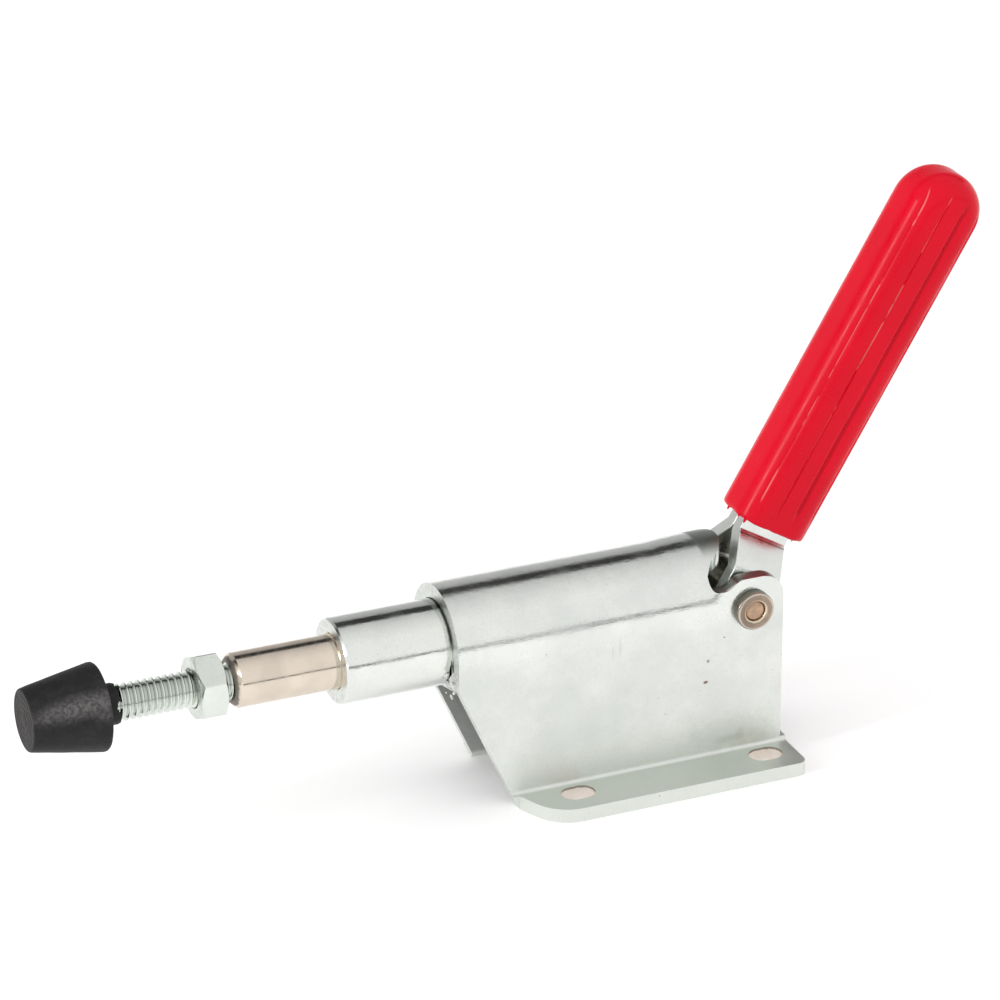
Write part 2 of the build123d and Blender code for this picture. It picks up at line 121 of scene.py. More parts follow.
class ClampFinishes(bpy.types.PropertyGroup):
    zinc: colour("Zinc", "Colour of the zinc-plated sheet and tube", (0.80, 0.815, 0.79))
    zinc_roughness: factor("Zinc roughness", "Gloss of the zinc plating", 0.11)
    sheet_roughness: factor("Sheet roughness", "Gloss of the flat walls and flanges", 0.44)
    nickel: colour("Nickel", "Colour of the nickel-plated plunger", (0.77, 0.675, 0.575))
    nickel_roughness: factor("Nickel roughness", "Gloss of the nickel plating", 0.14)
    weld: colour("Weld", "Colour of the weld under its zinc", (0.74, 0.75, 0.73))
    collar: colour("Collar", "Colour of the collars round the pivot", (0.40, 0.31, 0.24))
    pin: colour("Riveted end", "Colour of the peened pin end", (0.50, 0.34, 0.235))
    grip: colour("Grip", "Colour of the dipped grip", (0.76, 0.0, 0.018))
    rubber: colour("Rubber", "Colour of the pad", (0.016, 0.015, 0.015))


class ClampGrip(bpy.types.PropertyGroup):
    tilt: angle("Tilt", "Arms above the level, towards the rear", 59.3)
    mouth: length("Mouth", "Pivot to the mouth of the grip", 15.5 * MM)
    end: length("End", "Pivot to the end of the grip", 99.4 * MM)
    width: length("Width", "Width of the grip", 17.8 * MM)
    edge_round: length("Edge round", "Radius of the grip's edges", 5.0 * MM, 0.001, 0.006)
    groove_pitch: length("Groove pitch", "Distance between grooves", 4.6 * MM, 0.001, 0.01)
    groove_width: length("Groove width", "Width of a lengthwise groove", 0.8 * MM, 0.0, 0.004)
    groove_depth: length("Groove depth", "Depth of a lengthwise groove", 0.45 * MM, 0.0, 0.002)
    flash: length("Mouth flash", "Unevenness of the rim at the mouth", 0.2 * MM, 0.0, 0.002)


class ClampThread(bpy.types.PropertyGroup):
    diameter: length("Diameter", "Diameter over the thread", 7.85 * MM, 0.002, 0.02)
    pitch: length("Pitch", "Distance from crest to crest", 1.47 * MM, 0.0005, 0.003)
    depth: length("Depth", "Depth of the thread", 0.62 * MM, 0.0002, 0.002)
    spatter: length("Spatter", "Largest radius of a weld spatter ball", 0.36 * MM, 0.0, 0.001)


class ClampStudio(bpy.types.PropertyGroup):
    azimuth: angle("Azimuth", "Camera azimuth", 156.5)
    elevation: angle("Elevation", "Camera elevation", 25.0)
    distance: length("Distance", "Camera to its target", 1.054, 0.2, 5.0)
    target: bpy.props.FloatVectorProperty(name="Target", description="What the camera faces",
                                          default=(0.03221, 0.0, 0.06501), unit="LENGTH",
                                          subtype="TRANSLATION")
    lens: bpy.props.FloatProperty(name="Lens", description="Focal length on a 36 mm sensor",
                                  default=185.3, min=20.0, subtype="DISTANCE_CAMERA")
    key: bpy.props.FloatProperty(name="Key light", description="Power of the large softbox",
                                 default=3.8, min=0.0, unit="POWER")
    world: factor("World", "Brightness of the surrounding tent", 0.92, 2.0)
    paper: factor("Paper", "Whiteness added to the paper that the camera and metal see", 0.2)


# ----------------------------------------------------------------- materials
class Wiring:
    """Adds nodes to a tree, each with its settings, links and input values."""

    def __init__(self, tree):
        self.tree = tree

    def new(self, kind, inputs=(), **settings):
        node = self.tree.nodes.new(kind)
        for key, value in settings.items():
            setattr(node, key, value)
        for socket, source in dict(inputs).items():
            if hasattr(source, "is_output"):
                self.tree.links.new(source, node.inputs[socket])
            else:
                node.inputs[socket].default_value = source
        return node

    def calc(self, operation, one, other=0.0):
        return self.new("ShaderNodeMath", {0: one, 1: other}, operation=operation).outputs[0]

    times = partialmethod(calc, "MULTIPLY")
    plus = partialmethod(calc, "ADD")
    minus = partialmethod(calc, "SUBTRACT")
    most = partialmethod(calc, "MAXIMUM")
    size = partialmethod(calc, "ABSOLUTE")


class Finish(Wiring):
    """A node material under construction, on object coordinates."""

    def __init__(self, name, colour, roughness, metallic=0.0, specular=None):
        self.material, self.colour = bpy.data.materials.new(name), tuple(colour)
        self.material.use_nodes = True
        super().__init__(self.material.node_tree)
        self.shader = self.tree.nodes["Principled BSDF"]
        self.shader.inputs["Base Color"].default_value = (*colour, 1.0)
        self.shader.inputs["Roughness"].default_value = roughness
        self.shader.inputs["Metallic"].default_value = metallic
        if specular is not None:
            self.shader.inputs["Specular IOR Level"].default_value = specular
        self.place = self.new("ShaderNodeTexCoord").outputs["Object"]

    def mapped(self, stretch):
        node = self.new("ShaderNodeMapping", {"Vector": self.place, "Scale": stretch})
        return node.outputs["Vector"]

    def grain(self, scale, detail=3.0, roughness=0.5, source=None):
        node = self.new("ShaderNodeTexNoise", {"Vector": source or self.place, "Scale": scale,
                                               "Detail": detail, "Roughness": roughness})
        return node.outputs["Fac"]

    def spread(self, value, low, high, to_low=0.0, to_high=1.0):
        node = self.new("ShaderNodeMapRange", {"Value": value, "From Min": low, "From Max": high,
                                               "To Min": to_low, "To Max": to_high},
                        interpolation_type="SMOOTHSTEP")
        return node.outputs["Result"]

    def fall(self, value, low, high, strength=1.0):
        """Strength up to low, falling to 0 at high."""
        return self.spread(value, low, high, strength, 0.0)

    def band(self, value, centre, inner, outer, strength=1.0):
        """Strength within inner of the centre, falling to 0 at outer."""
        return self.fall(self.size(self.minus(value, centre)), inner, outer, strength)

    def tint(self, amount, one, other):
        sides = [(*side, 1.0) if isinstance(side, tuple) else side for side in (one, other)]
        node = self.new("ShaderNodeMix", {"Factor": amount, 6: sides[0], 7: sides[1]}, data_type="RGBA")
        return node.outputs[2]

    def set(self, socket, value):
        self.tree.links.new(value, self.shader.inputs[socket])

    def paint(self, colour):
        """Take a colour as the base so far."""
        self.base = colour
        self.set("Base Color", colour)

    def coat(self, amount, colour):
        """Lay a colour over the base so far."""
        self.paint(self.tint(amount, self.base, colour))

    def tone(self, amount, level, cast=(1.0, 1.0, 1.0)):
        """Lay a darker or lighter tone of the finish's own colour over the base so far."""
        self.coat(amount, tinted(self.colour, level, cast))

    def vary(self, amount, dark, light, dark_cast=(1.0, 1.0, 1.0), light_cast=(1.0, 1.0, 1.0)):
        """Start the base between two tones of the finish's own colour."""
        self.paint(self.tint(amount, tinted(self.colour, dark, dark_cast),
                             tinted(self.colour, light, light_cast)))

    def relief(self, *layers):
        """Bumps laid one on another, each with its height, distance and strength."""
        below = None
        for height, distance, strength in layers:
            node = self.new("ShaderNodeBump", {"Height": height, "Distance": distance,
                                               "Strength": strength})
            if below:
                self.tree.links.new(below, node.inputs["Normal"])
            below = node.outputs["Normal"]
        self.set("Normal", below)

    def parts(self, output="Object"):
        """X, Y and Z of the object coordinates or of the object-space normal."""
        coords = self.new("ShaderNodeTexCoord")
        return self.new("ShaderNodeSeparateXYZ", {0: coords.outputs[output]}).outputs

    def patch(self, centre, radius, softness, stretch, wobble):
        """1 inside a small blot round a place, falling to 0 at its ragged rim."""
        away = self.place
        for operation, value in (("SUBTRACT", centre), ("MULTIPLY", stretch)):
            away = self.new("ShaderNodeVectorMath", {0: away, 1: value}, operation=operation).outputs[0]
        away = self.new("ShaderNodeVectorMath", {0: away}, operation="LENGTH").outputs["Value"]
        away = self.plus(away, self.times(self.minus(wobble, 0.5), 1.6 * radius))
        return self.fall(away, radius * (1 - softness), radius * (1 + softness))

    def on_handle(self, place):
        """Place along the handle from the pivot, and across it towards the front."""
        tilt, pivot = bpy.context.scene.clamp_grip.tilt, pivot_centre()
        ahead, above = self.minus(place["X"], pivot.x), self.minus(place["Z"], pivot.z)
        along = self.minus(self.times(above, math.sin(tilt)), self.times(ahead, math.cos(tilt)))
        across = self.plus(self.times(ahead, math.sin(tilt)), self.times(above, math.cos(tilt)))
        return along, across

    def crystals(self, level, scale, low):
        """The frost and the pits of a zinc plating."""
        frost = self.spread(self.grain(2400, 3, 0.7), 0.52, 0.68, 0.0, 0.5)
        self.tone(frost, level, (0.99, 1.0, 0.98))
        pits = self.spread(self.grain(scale, 4, 0.7), low, low + 0.06)
        self.tone(pits, 0.5, (1.0, 0.97, 0.92))

    def cut_face_and_shade(self, mask, light, dark):
        """The mottled grey of a cut end, darkened with painted shade."""
        mottled = self.spread(self.grain(900, 4, 0.7), 0.35, 0.7)
        self.coat(mask, self.tint(mottled, tinted(self.colour, light, (0.98, 1.0, 0.98)),
                                  tinted(self.colour, dark, (0.98, 1.0, 0.97))))


def tinted(colour, amount, cast=(1.0, 1.0, 1.0)):
    return tuple(min(1.0, part * amount * hue) for part, hue in zip(colour, cast))


def zinc_finish(name="zinc_plating", roughness=None, shade=None, painted_shade=None):
    """Zinc plating; the cut and turned ends that face along +X are rougher and mottled, with painted
    shade laid over them.
    """
    look = bpy.context.scene.clamp_finishes
    gloss, shade = roughness or look.zinc_roughness, shade or look.zinc
    made = Finish(name, shade, gloss, 1.0)
    cloudy = made.spread(made.grain(70, 5, 0.6), 0.35, 0.68)
    made.vary(cloudy, 0.94, 1.04, (0.98, 1.0, 0.99), (1.0, 1.0, 0.99))
    made.crystals(0.88, 1200, 0.70)
    # Painted shade: faces that look along +X are darkened, as well as mottled and made rougher.
    ends = made.spread(made.parts("Normal")["X"], 0.8, 0.95)
    made.cut_face_and_shade(ends, 0.94, 0.74)
    # Painted shade, dark, where the caller's mask says.
    if painted_shade:
        made.tone(painted_shade(made), 0.09, (1.0, 1.0, 0.9))
    rough = made.spread(made.grain(180, 4, 0.65), 0.3, 0.7, gloss - 0.05, gloss + 0.08)
    made.set("Roughness", made.plus(rough, made.times(ends, 0.16)))
    drawn = made.grain(1100, 3, 0.7, made.mapped((0.25, 1, 1)))
    made.relief((made.grain(75, 2, 0.5), 0.00022, 0.5), (made.grain(380, 5, 0.65), 0.00006, 0.65),
                (drawn, 0.000025, 0.7))
    return made.material


def tube_finish():
    """The tube's plating, with painted shade in the seam round the front of the wrap."""
    def seam(made):
        place = made.parts()
        edge = span("body_shell")[1].x
        away = made.minus(place["X"], edge)
        ragged = made.times(made.grain(600, 3), 0.5 * MM)
        # Painted shade: a dark ragged band on the tube at and just ahead of the wrap's front, above and
        # below the axis.
        close = made.fall(made.plus(away, ragged), 0.45 * MM, 0.95 * MM)
        above = made.spread(place["Z"], axis_height() + 1 * MM, axis_height() + 4 * MM)
        below = made.fall(place["Z"], axis_height() - 4 * MM, axis_height() - 1.5 * MM)
        return made.times(close, made.plus(above, below))
    return zinc_finish("zinc_plated_tube", painted_shade=seam)


def thread_finish():
    """Bright zinc on the thread and the nut, with painted shade down in the roots."""
    look = bpy.context.scene.clamp_finishes
    thread = bpy.context.scene.clamp_thread

    def roots(made):
        place = made.parts()
        high = made.minus(place["Z"], axis_height())
        square = made.plus(made.times(high, high), made.times(place["Y"], place["Y"]))
        out = made.calc("SQRT", square)
        crest = thread.diameter / 2
        # Painted shade: down in the roots, stronger above the axis, and in a ring where the thread
        # meets the nut's face.
        deep = made.fall(out, crest - thread.depth, crest - 0.15 * thread.depth)
        face = span("jam_nut")[1].x
        ring = made.times(made.fall(out, crest + 0.2 * MM, crest + 0.45 * MM),
                          made.spread(place["X"], face - 0.9 * MM, face - 0.7 * MM))
        ring = made.times(ring, made.fall(place["X"], face, face + 0.1 * MM, 0.7))
        upper = made.spread(high, -0.8 * MM, 0.8 * MM, 0.10, 0.34)
        return made.most(made.times(deep, upper), ring)
    return zinc_finish("zinc_plated_thread", 0.15, tinted(look.zinc, 0.99, (0.975, 1.0, 0.975)), roots)


def arm_finish():
    """The stamped arms, with painted shade on the edges down in the notch and along the crease."""
    def painted_shade(made):
        place, normal = made.parts(), made.parts("Normal")
        foot = pivot_centre().z
        # Painted shade on the front edges low in the notch, and in a thin line along the crease.
        edge = made.times(made.spread(normal["X"], 0.2, 0.5),
                          made.fall(place["Z"], foot - 1 * MM, foot + 5.5 * MM, 0.85))
        crease = made.band(made.on_handle(place)[0], CREASE, 0.05 * MM, 0.22 * MM, 0.65)
        flank = made.spread(made.size(normal["Y"]), 0.3, 0.6)
        return made.most(edge, made.times(crease, flank))
    look = bpy.context.scene.clamp_finishes
    return zinc_finish("zinc_plated_arms", look.sheet_roughness - 0.15, painted_shade=painted_shade)


def bush_finish():
    # A dark finish for the bush inside the pivot.
    return zinc_finish("worn_steel_bush", 0.22, (0.20, 0.19, 0.15))


def sheet_finish():
    """Zinc on the folded body: duller on the flat walls, with the marks of use."""
    look = bpy.context.scene.clamp_finishes
    made = Finish("zinc_plated_sheet", look.zinc, look.sheet_roughness, 1.0)
    place, normal = made.parts(), made.parts("Normal")
    flat = made.fall(place["Z"], axis_height() - 5 * MM, axis_height() + 2 * MM)
    cloudy = made.spread(made.grain(60, 5, 0.62), 0.35, 0.68)
    made.vary(cloudy, 0.95, 1.05, (0.985, 1.0, 0.99), (1.0, 1.0, 0.99))
    # Painted shade: the body a little darker towards the bottom.
    low = made.fall(place["Z"], 1.5 * MM, 16 * MM)
    made.tone(low, 0.98, (0.985, 1.0, 0.975))
    # Painted shade: upward faces low on the body, the top of the flange, darker.
    level = made.times(made.spread(normal["Z"], 0.75, 0.95), made.fall(place["Z"], 4 * MM, 6 * MM))
    made.tone(level, 0.90, (0.975, 1.0, 0.96))
    wall = span("body_shell")[1].y - WALL_INSET
    across = made.size(place["Y"])
    # Painted shade on the inner faces of the walls below the axis.
    inside = made.fall(across, wall - 2.9 * MM, wall - 2.4 * MM)
    under = made.fall(place["Z"], axis_height() - 3 * MM, axis_height())
    made.tone(made.times(inside, under), 0.58)
    wobble = made.grain(700, 3, 0.6)
    for x, z, radius, stretch, shade, strength in BLOTS:
        spot = made.patch((x * MM, wall, z * MM), radius * MM, 0.55, stretch, wobble)
        made.coat(made.times(spot, strength), shade)
    made.crystals(0.86, 1100, 0.69)
    # Painted light: the walls of the fixing slots are made bright, with a darker ragged band along the
    # upper edge.
    def beside(value, k):
        """Strength within a slot of the flange: k = 0 along the body, 1 across it."""
        half = SLOT[2 + k] / 2
        return made.band(value, SLOT[k], half + 0.2 * MM, half + 0.4 * MM)

    near = made.times(beside(made.size(place["X"]), 0), beside(across, 1))
    upright = made.fall(made.size(normal["Z"]), 0.2, 0.9)
    slots = made.times(near, upright)
    made.coat(slots, (0.93, 0.86, 0.80))
    ragged = made.plus(place["Z"], made.times(made.grain(800, 3), 0.5 * MM))
    lip = made.spread(ragged, SHEET - 0.35 * MM, SHEET - 0.15 * MM, 0.0, 0.8)
    made.coat(made.times(slots, lip), (0.20, 0.20, 0.16))
    # Cut edges, the front of the wrap and the tops of the lugs: rougher and mottled, and darkened with
    # painted shade.
    cut_face_and_shade = made.times(made.spread(normal["X"], 0.8, 0.95), made.spread(place["Z"], 16 * MM, 20 * MM))
    pin = span("pivot_pin")[1].x
    lugs = made.times(made.fall(place["X"], pin + 5 * MM, pin + 6 * MM),
                      made.spread(across, wall - 1.0 * MM, wall - 0.55 * MM, 1.0, 0.25))
    above = made.spread(place["Z"], axis_height() + 1 * MM, axis_height() + 2 * MM)
    upward = made.fall(made.size(normal["Y"]), 0.3, 0.6)
    cut_and_shaded_lug_tops = made.times(made.times(lugs, above), upward)
    made.cut_face_and_shade(cut_face_and_shade, 0.92, 0.72)
    made.tone(cut_and_shaded_lug_tops, 0.42, (0.95, 1.0, 0.95))
    gloss = made.spread(made.grain(200, 4, 0.65), 0.3, 0.7, -0.05, 0.08)
    dull = made.times(flat, look.sheet_roughness - look.zinc_roughness - 0.03)
    cut = made.times(made.plus(cut_face_and_shade, cut_and_shaded_lug_tops), 0.18)
    rough = made.plus(made.plus(dull, gloss), look.zinc_roughness + 0.03)
    made.set("Roughness", made.plus(rough, cut))
    drawn = made.grain(1300, 3, 0.7, made.mapped((0.3, 1, 1)))
    made.relief((made.grain(60, 2, 0.5), 0.0003, 0.5), (made.grain(420, 5, 0.7), 0.00007, 0.7),
                (drawn, 0.00003, 0.8))
    return made.material


def nickel_finish():
    """Nickel plating with fine turned rings and a darker, rougher front edge."""
    look = bpy.context.scene.clamp_finishes
    shade = look.nickel
    made = Finish("nickel_plating", shade, look.nickel_roughness, 1.0)
    rings = made.grain(700, 2, 0.6, made.mapped((1, 0.12, 0.12)))
    made.vary(made.spread(made.grain(140, 3), 0.35, 0.65), 0.92, 1.03)
    pits = made.spread(made.grain(1200, 4, 0.7), 0.70, 0.76)
    made.tone(pits, 0.55)
    edge = span("plunger")[1].x - 0.75 * MM
    ragged = made.times(made.grain(650, 3), 0.9 * MM)
    turned_edge = made.spread(made.plus(made.parts()["X"], ragged), edge + 0.4 * MM, edge + 0.75 * MM,
                              0.0, 0.85)
    made.tone(turned_edge, 0.22, (1.0, 1.0, 1.05))
    rough = made.spread(rings, 0.3, 0.7, look.nickel_roughness - 0.03, look.nickel_roughness + 0.07)
    made.set("Roughness", made.plus(rough, made.times(turned_edge, 0.35)))
    made.relief((made.grain(110, 2, 0.5), 0.0001, 0.5), (rings, 0.00002, 0.5))
    return made.material


def collar_finish():
    """Worn nickel on the collars, golden down the bore, with painted shade round the side and towards
    the front and a painted highlight on the outer rim.
    """
    look = bpy.context.scene.clamp_finishes
    made = Finish("worn_collar", look.collar, 0.2, 1.0)
    place = made.parts()
    low, high = span("pivot_collar_near")
    radius = (high.z - low.z) / 2
    ahead = made.minus(place["X"], (low.x + high.x) / 2)
    above = made.minus(place["Z"], (low.z + high.z) / 2)
    out = made.calc("SQRT", made.plus(made.times(ahead, ahead), made.times(above, above)))
    worn = made.spread(made.grain(420, 4), 0.35, 0.65)
    made.vary(worn, 0.86, 1.1)
    # Painted shade: darker towards the front (+X).
    shaded = made.spread(ahead, -radius, radius, 0.0, 0.55)
    made.tone(shaded, 0.42, (1.0, 1.02, 0.98))
    hollow = made.band(out, radius - 1.25 * MM, 0.1 * MM, 0.5 * MM, 0.15)
    made.tone(hollow, 0.5, (1.0, 0.96, 0.9))
    made.coat(made.fall(out, radius - 1.9 * MM, radius - 1.5 * MM, 0.8), (0.86, 0.76, 0.60))
    # Painted highlight along the outer rim.
    rim = made.band(out, radius - 0.35 * MM, 0.05 * MM, 0.3 * MM, 0.6)
    made.coat(rim, (0.80, 0.74, 0.66))
    # Painted shade round the side, strongest next to the wall.
    side = made.times(made.spread(out, radius - 0.12 * MM, radius - 0.02 * MM, 0.0, 0.9),
                      made.spread(made.size(place["Y"]), low.y + 0.45 * (high.y - low.y),
                                  low.y + 0.65 * (high.y - low.y), 1.0, 0.15))
    made.coat(side, (0.13, 0.14, 0.12))
    made.set("Roughness", made.spread(worn, 0.0, 1.0, 0.14, 0.28))
    made.relief((made.grain(700, 4, 0.6), 0.00004, 0.5))
    return made.material


def weld_finish():
    look = bpy.context.scene.clamp_finishes
    made = Finish("zinc_plated_weld", look.weld, 0.34, 1.0)
    made.vary(made.spread(made.grain(700, 3), 0.4, 0.62), 0.72, 1.1)
    made.relief((made.grain(1100, 3, 0.6), 0.00012, 0.7))
    return made.material


def pin_finish():
    look = bpy.context.scene.clamp_finishes
    made = Finish("peened_pin_end", look.pin, 0.33, 1.0)
    made.vary(made.spread(made.grain(700, 4), 0.36, 0.66), 0.85, 1.12)
    made.relief((made.grain(1200, 3), 0.00006, 0.5))
    return made.material


def grip_finish():
    """Dipped plastic, with painted shade down in the wide groove and painted highlights along the
    narrow ones.
    """
    look = bpy.context.scene.clamp_finishes
    grip = bpy.context.scene.clamp_grip
    made = Finish("dipped_red_plastic", look.grip, 0.22, specular=0.17)
    place = made.parts()
    along, across = made.on_handle(place)
    low, high = grip.mouth + 4.5 * MM, grip.end - 5.5 * MM
    face = made.times(made.spread(along, low, low + 1.5 * MM), made.fall(along, high, high + 1.5 * MM))
    face = made.times(face, made.spread(made.size(place["Y"]), 4.5 * MM, 5.5 * MM))

    def groove(pitches, reach, fade, strength):
        band = made.band(across, pitches * grip.groove_pitch, reach * MM, (reach + fade) * MM, strength)
        return made.times(band, face)

    made.vary(made.spread(made.grain(60, 3), 0.35, 0.7), 0.96, 1.04)
    # Painted shade in the wide groove.
    made.tone(groove(-0.5, 0.3, 0.25, 0.55), 0.6)
    broken = made.spread(made.grain(120, 3, 0.6), 0.46, 0.54)
    # Painted highlights: broken pale lines along the two narrow grooves.
    for where, strength in ((0.5, 0.7), (1.5, 0.5)):
        made.coat(made.times(groove(where, 0.04, 0.1, strength), broken), (0.86, 0.30, 0.26))
    made.set("Roughness", made.spread(made.grain(320, 3, 0.6), 0.3, 0.7, 0.18, 0.28))
    made.relief((made.grain(300, 3, 0.5), 0.00006, 0.35))
    return made.material


def rubber_finish():
    look = bpy.context.scene.clamp_finishes
    made = Finish("moulded_black_rubber", look.rubber, 0.55, specular=0.26)
    dusty = made.spread(made.grain(420, 4, 0.6), 0.45, 0.72)
    specks = made.spread(made.grain(1300, 4, 0.6), 0.34, 0.66, 0.35, 1.0)
    worn = made.grain(260, 4, 0.6, made.mapped((0.45, 1.4, 1.4)))
    end = span("rubber_cap")[1].x
    along = made.patch((end - 8.5 * MM, 7.2 * MM, axis_height() + 4.2 * MM), 9 * MM, 0.9,
                       (0.8, 4.6, 4.6), worn)
    rear = made.patch((end - 14.5 * MM, 7.8 * MM, axis_height() + 4.6 * MM), 3.6 * MM, 0.95,
                      (1.3, 1.3, 1.3), worn)
    smear_and_sheen_band = made.most(along, made.times(rear, 0.8))
    smear_and_painted_sheen = made.times(specks, made.plus(smear_and_sheen_band, 0.04))
    made.vary(dusty, 0.55, 1.0)
    end_face = made.spread(made.parts("Normal")["X"], 0.8, 0.95, 0.0, 0.6)
    dust = made.times(end_face, made.spread(made.grain(700, 4, 0.65), 0.35, 0.65))
    made.coat(dust, (0.040, 0.033, 0.030))
    # Painted sheen: the speckled band along the side is made much lighter; its lower roughness is a
    # real smear of gloss.
    made.tone(smear_and_painted_sheen, 8.5)
    made.set("Roughness", made.spread(smear_and_painted_sheen, 0.0, 1.0, 0.58, 0.38))
    made.relief((made.grain(1100, 4, 0.62), 0.00012, 0.7))
    return made.material


MAKERS = {"zinc": zinc_finish, "tube": tube_finish, "sheet": sheet_finish,
          "arms": arm_finish, "bush": bush_finish, "thread": thread_finish,
          "nickel": nickel_finish, "collar": collar_finish, "weld": weld_finish,
          "pin": pin_finish, "grip": grip_finish, "rubber": rubber_finish}
FINISHES = {}


def finish(name):
    """The named finish, made once."""
    if name not in FINISHES:
        FINISHES[name] = MAKERS[name]()
    return FINISHES[name]


# -------------------------------------------------------------- mesh helpers
def place_mesh(name, mesh, body, slot, material, *nodes):
    """Put a finished mesh in the scene for the CAD nodes that it stands for."""
    piece = linked(name, mesh)
    piece.data.materials.clear()
    piece.data.materials.append(finish(material))
    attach(piece, body)
    if nodes:
        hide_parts(*nodes)
    return piece


def smooth(bm, angle=32.0):
    """Smooth shading with sharp creases over the given angle."""
    limit = math.radians(angle)
    for face in bm.faces:
        face.smooth = True
    for edge in bm.edges:
        edge.smooth = len(edge.link_faces) != 2 or edge.calc_face_angle(0.0) < limit


def to_mesh(name, bm, angle=32.0):
    bmesh.ops.recalc_face_normals(bm, faces=bm.faces)
    smooth(bm, angle)
    mesh = bpy.data.meshes.new(name)
    bm.to_mesh(mesh)
    bm.free()
    return mesh


def rounded_lugs(bm):
    """The rear corner of each lug swells outwards of its chord, down to the rear edge."""
    pivot = pivot_centre()
    rear = min(v.co.x for v in bm.verts if v.co.z > pivot.z + 1 * MM)
    low = Vector((rear, 0, pivot.z + LUG_CORNER[0]))
    top = Vector((pivot.x - LUG_CORNER[1], 0, pivot.z + LUG_CORNER[2]))
    chord = top - low
    outward = Vector((-chord.z, 0, chord.x)).normalized()
    hollow, swell = LUG_CORNER[3], LUG_CORNER[4]
    radius = (chord.length ** 2 / 4 + hollow ** 2) / (2 * hollow)
    for vert in bm.verts:
        place = Vector((vert.co.x, 0, vert.co.z)) - low
        t = place.dot(chord) / chord.length_squared
        if not 0.001 < t < 0.999:
            continue
        half = chord.length * (t - 0.5)
        sunk = math.sqrt(radius ** 2 - half ** 2) - radius + hollow
        if abs(place.dot(outward) + sunk) < 0.03 * MM:
            before = (vert.co.z - pivot.z) / LUG_LEAN[0]
            moved = low + t * chord + outward * 4 * t * (1 - t) * swell
            after = (moved.z - pivot.z) / LUG_LEAN[0]
            lean = LUG_LEAN[1] * (after ** 2 - before ** 2)
            vert.co = (moved.x, vert.co.y - math.copysign(lean, vert.co.y), moved.z)


def refined(node, body, slot, material, angle=32.0, bevel=0.0, change=None):
    """A merged copy of a CAD node with smooth shading and softened edges."""
    bm = bmesh.new()
    bm.from_mesh(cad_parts[node].data)
    bmesh.ops.remove_doubles(bm, verts=bm.verts, dist=2e-6)
    if change:
        change(bm)
    bmesh.ops.dissolve_limit(bm, angle_limit=math.radians(0.4), verts=bm.verts, edges=bm.edges,
                             delimit={"NORMAL"})
    mesh = to_mesh(node + "_fine", bm, angle)
    piece = place_mesh(node + "_fine", mesh, body, slot, material, node)
    if bevel:
        soften = piece.modifiers.new("Edge softening", "BEVEL")
        soften.width = bevel
        soften.segments = 2
        soften.limit_method = "ANGLE"
        soften.angle_limit = math.radians(50)
        soften.harden_normals = True
    return piece


def rings_to_mesh(name, rings, angle=40.0):
    """Skin a list of equally long closed rings of points."""
    bm = bmesh.new()
    rows = [[bm.verts.new(point) for point in ring] for ring in rings]
    count = len(rows[0])
    for one, other in zip(rows, rows[1:]):
        for i in range(count):
            j = (i + 1) % count
            bm.faces.new((one[i], one[j], other[j], other[i]))
    bm.faces.new(rows[0])
    bm.faces.new(rows[-1])
    bmesh.ops.remove_doubles(bm, verts=bm.verts, dist=1e-6)
    return to_mesh(name, bm, angle)


def turned(name, profile, centre, axis="X", steps=96, change=None, angle=40.0):
    """Turn a profile of (along, radius) about a line parallel to X or Y."""
    rings = []
    for along, radius in profile:
        ring = []
        for i in range(steps):
            a = 2 * math.pi * i / steps
            x, r = (along, radius) if change is None else change(along, radius, a)
            if axis == "X":
                ring.append(Vector((x, centre.y + r * math.cos(a), centre.z + r * math.sin(a))))
            else:
                ring.append(Vector((centre.x + r * math.cos(a), x, centre.z + r * math.sin(a))))
        rings.append(ring)
    return rings_to_mesh(name, rings, angle=angle)


# ------------------------------------------------------------ geometry nodes
class Tree(Wiring):
    """A geometry node tree with named inputs."""

    def __init__(self, name, inputs):
        super().__init__(bpy.data.node_groups.new(name, "GeometryNodeTree"))
        face = self.tree.interface
        self.sockets = {}
        for label, kind, value in inputs:
            item = face.new_socket(name=label, in_out="INPUT", socket_type=kind)
            if value is not None:
                item.default_value = value
            self.sockets[label] = item.identifier
        face.new_socket(name="Geometry", in_out="OUTPUT", socket_type="NodeSocketGeometry")
        self.given = self.tree.nodes.new("NodeGroupInput")
        self.result = self.tree.nodes.new("NodeGroupOutput")

    def finish(self, geometry):
        real = self.new("GeometryNodeRealizeInstances", {"Geometry": geometry})
        done = self.new("GeometryNodeSetMaterial", {"Geometry": real.outputs[0],
                                                    "Material": self.given.outputs["Material"]})
        self.tree.links.new(done.outputs[0], self.result.inputs[0])

    def apply(self, name, values, mesh=None):
        """Run the tree on a mesh and give the plain mesh that comes out."""
        holder = linked(name, mesh or bpy.data.meshes.new(name))
        run = holder.modifiers.new(name, "NODES")
        run.node_group = self.tree
        for label, value in values.items():
            run[self.sockets[label]] = value
        graph = bpy.context.evaluated_depsgraph_get()
        made = bpy.data.meshes.new_from_object(holder.evaluated_get(graph))
        made.name = name
        bpy.data.objects.remove(holder)
        return made


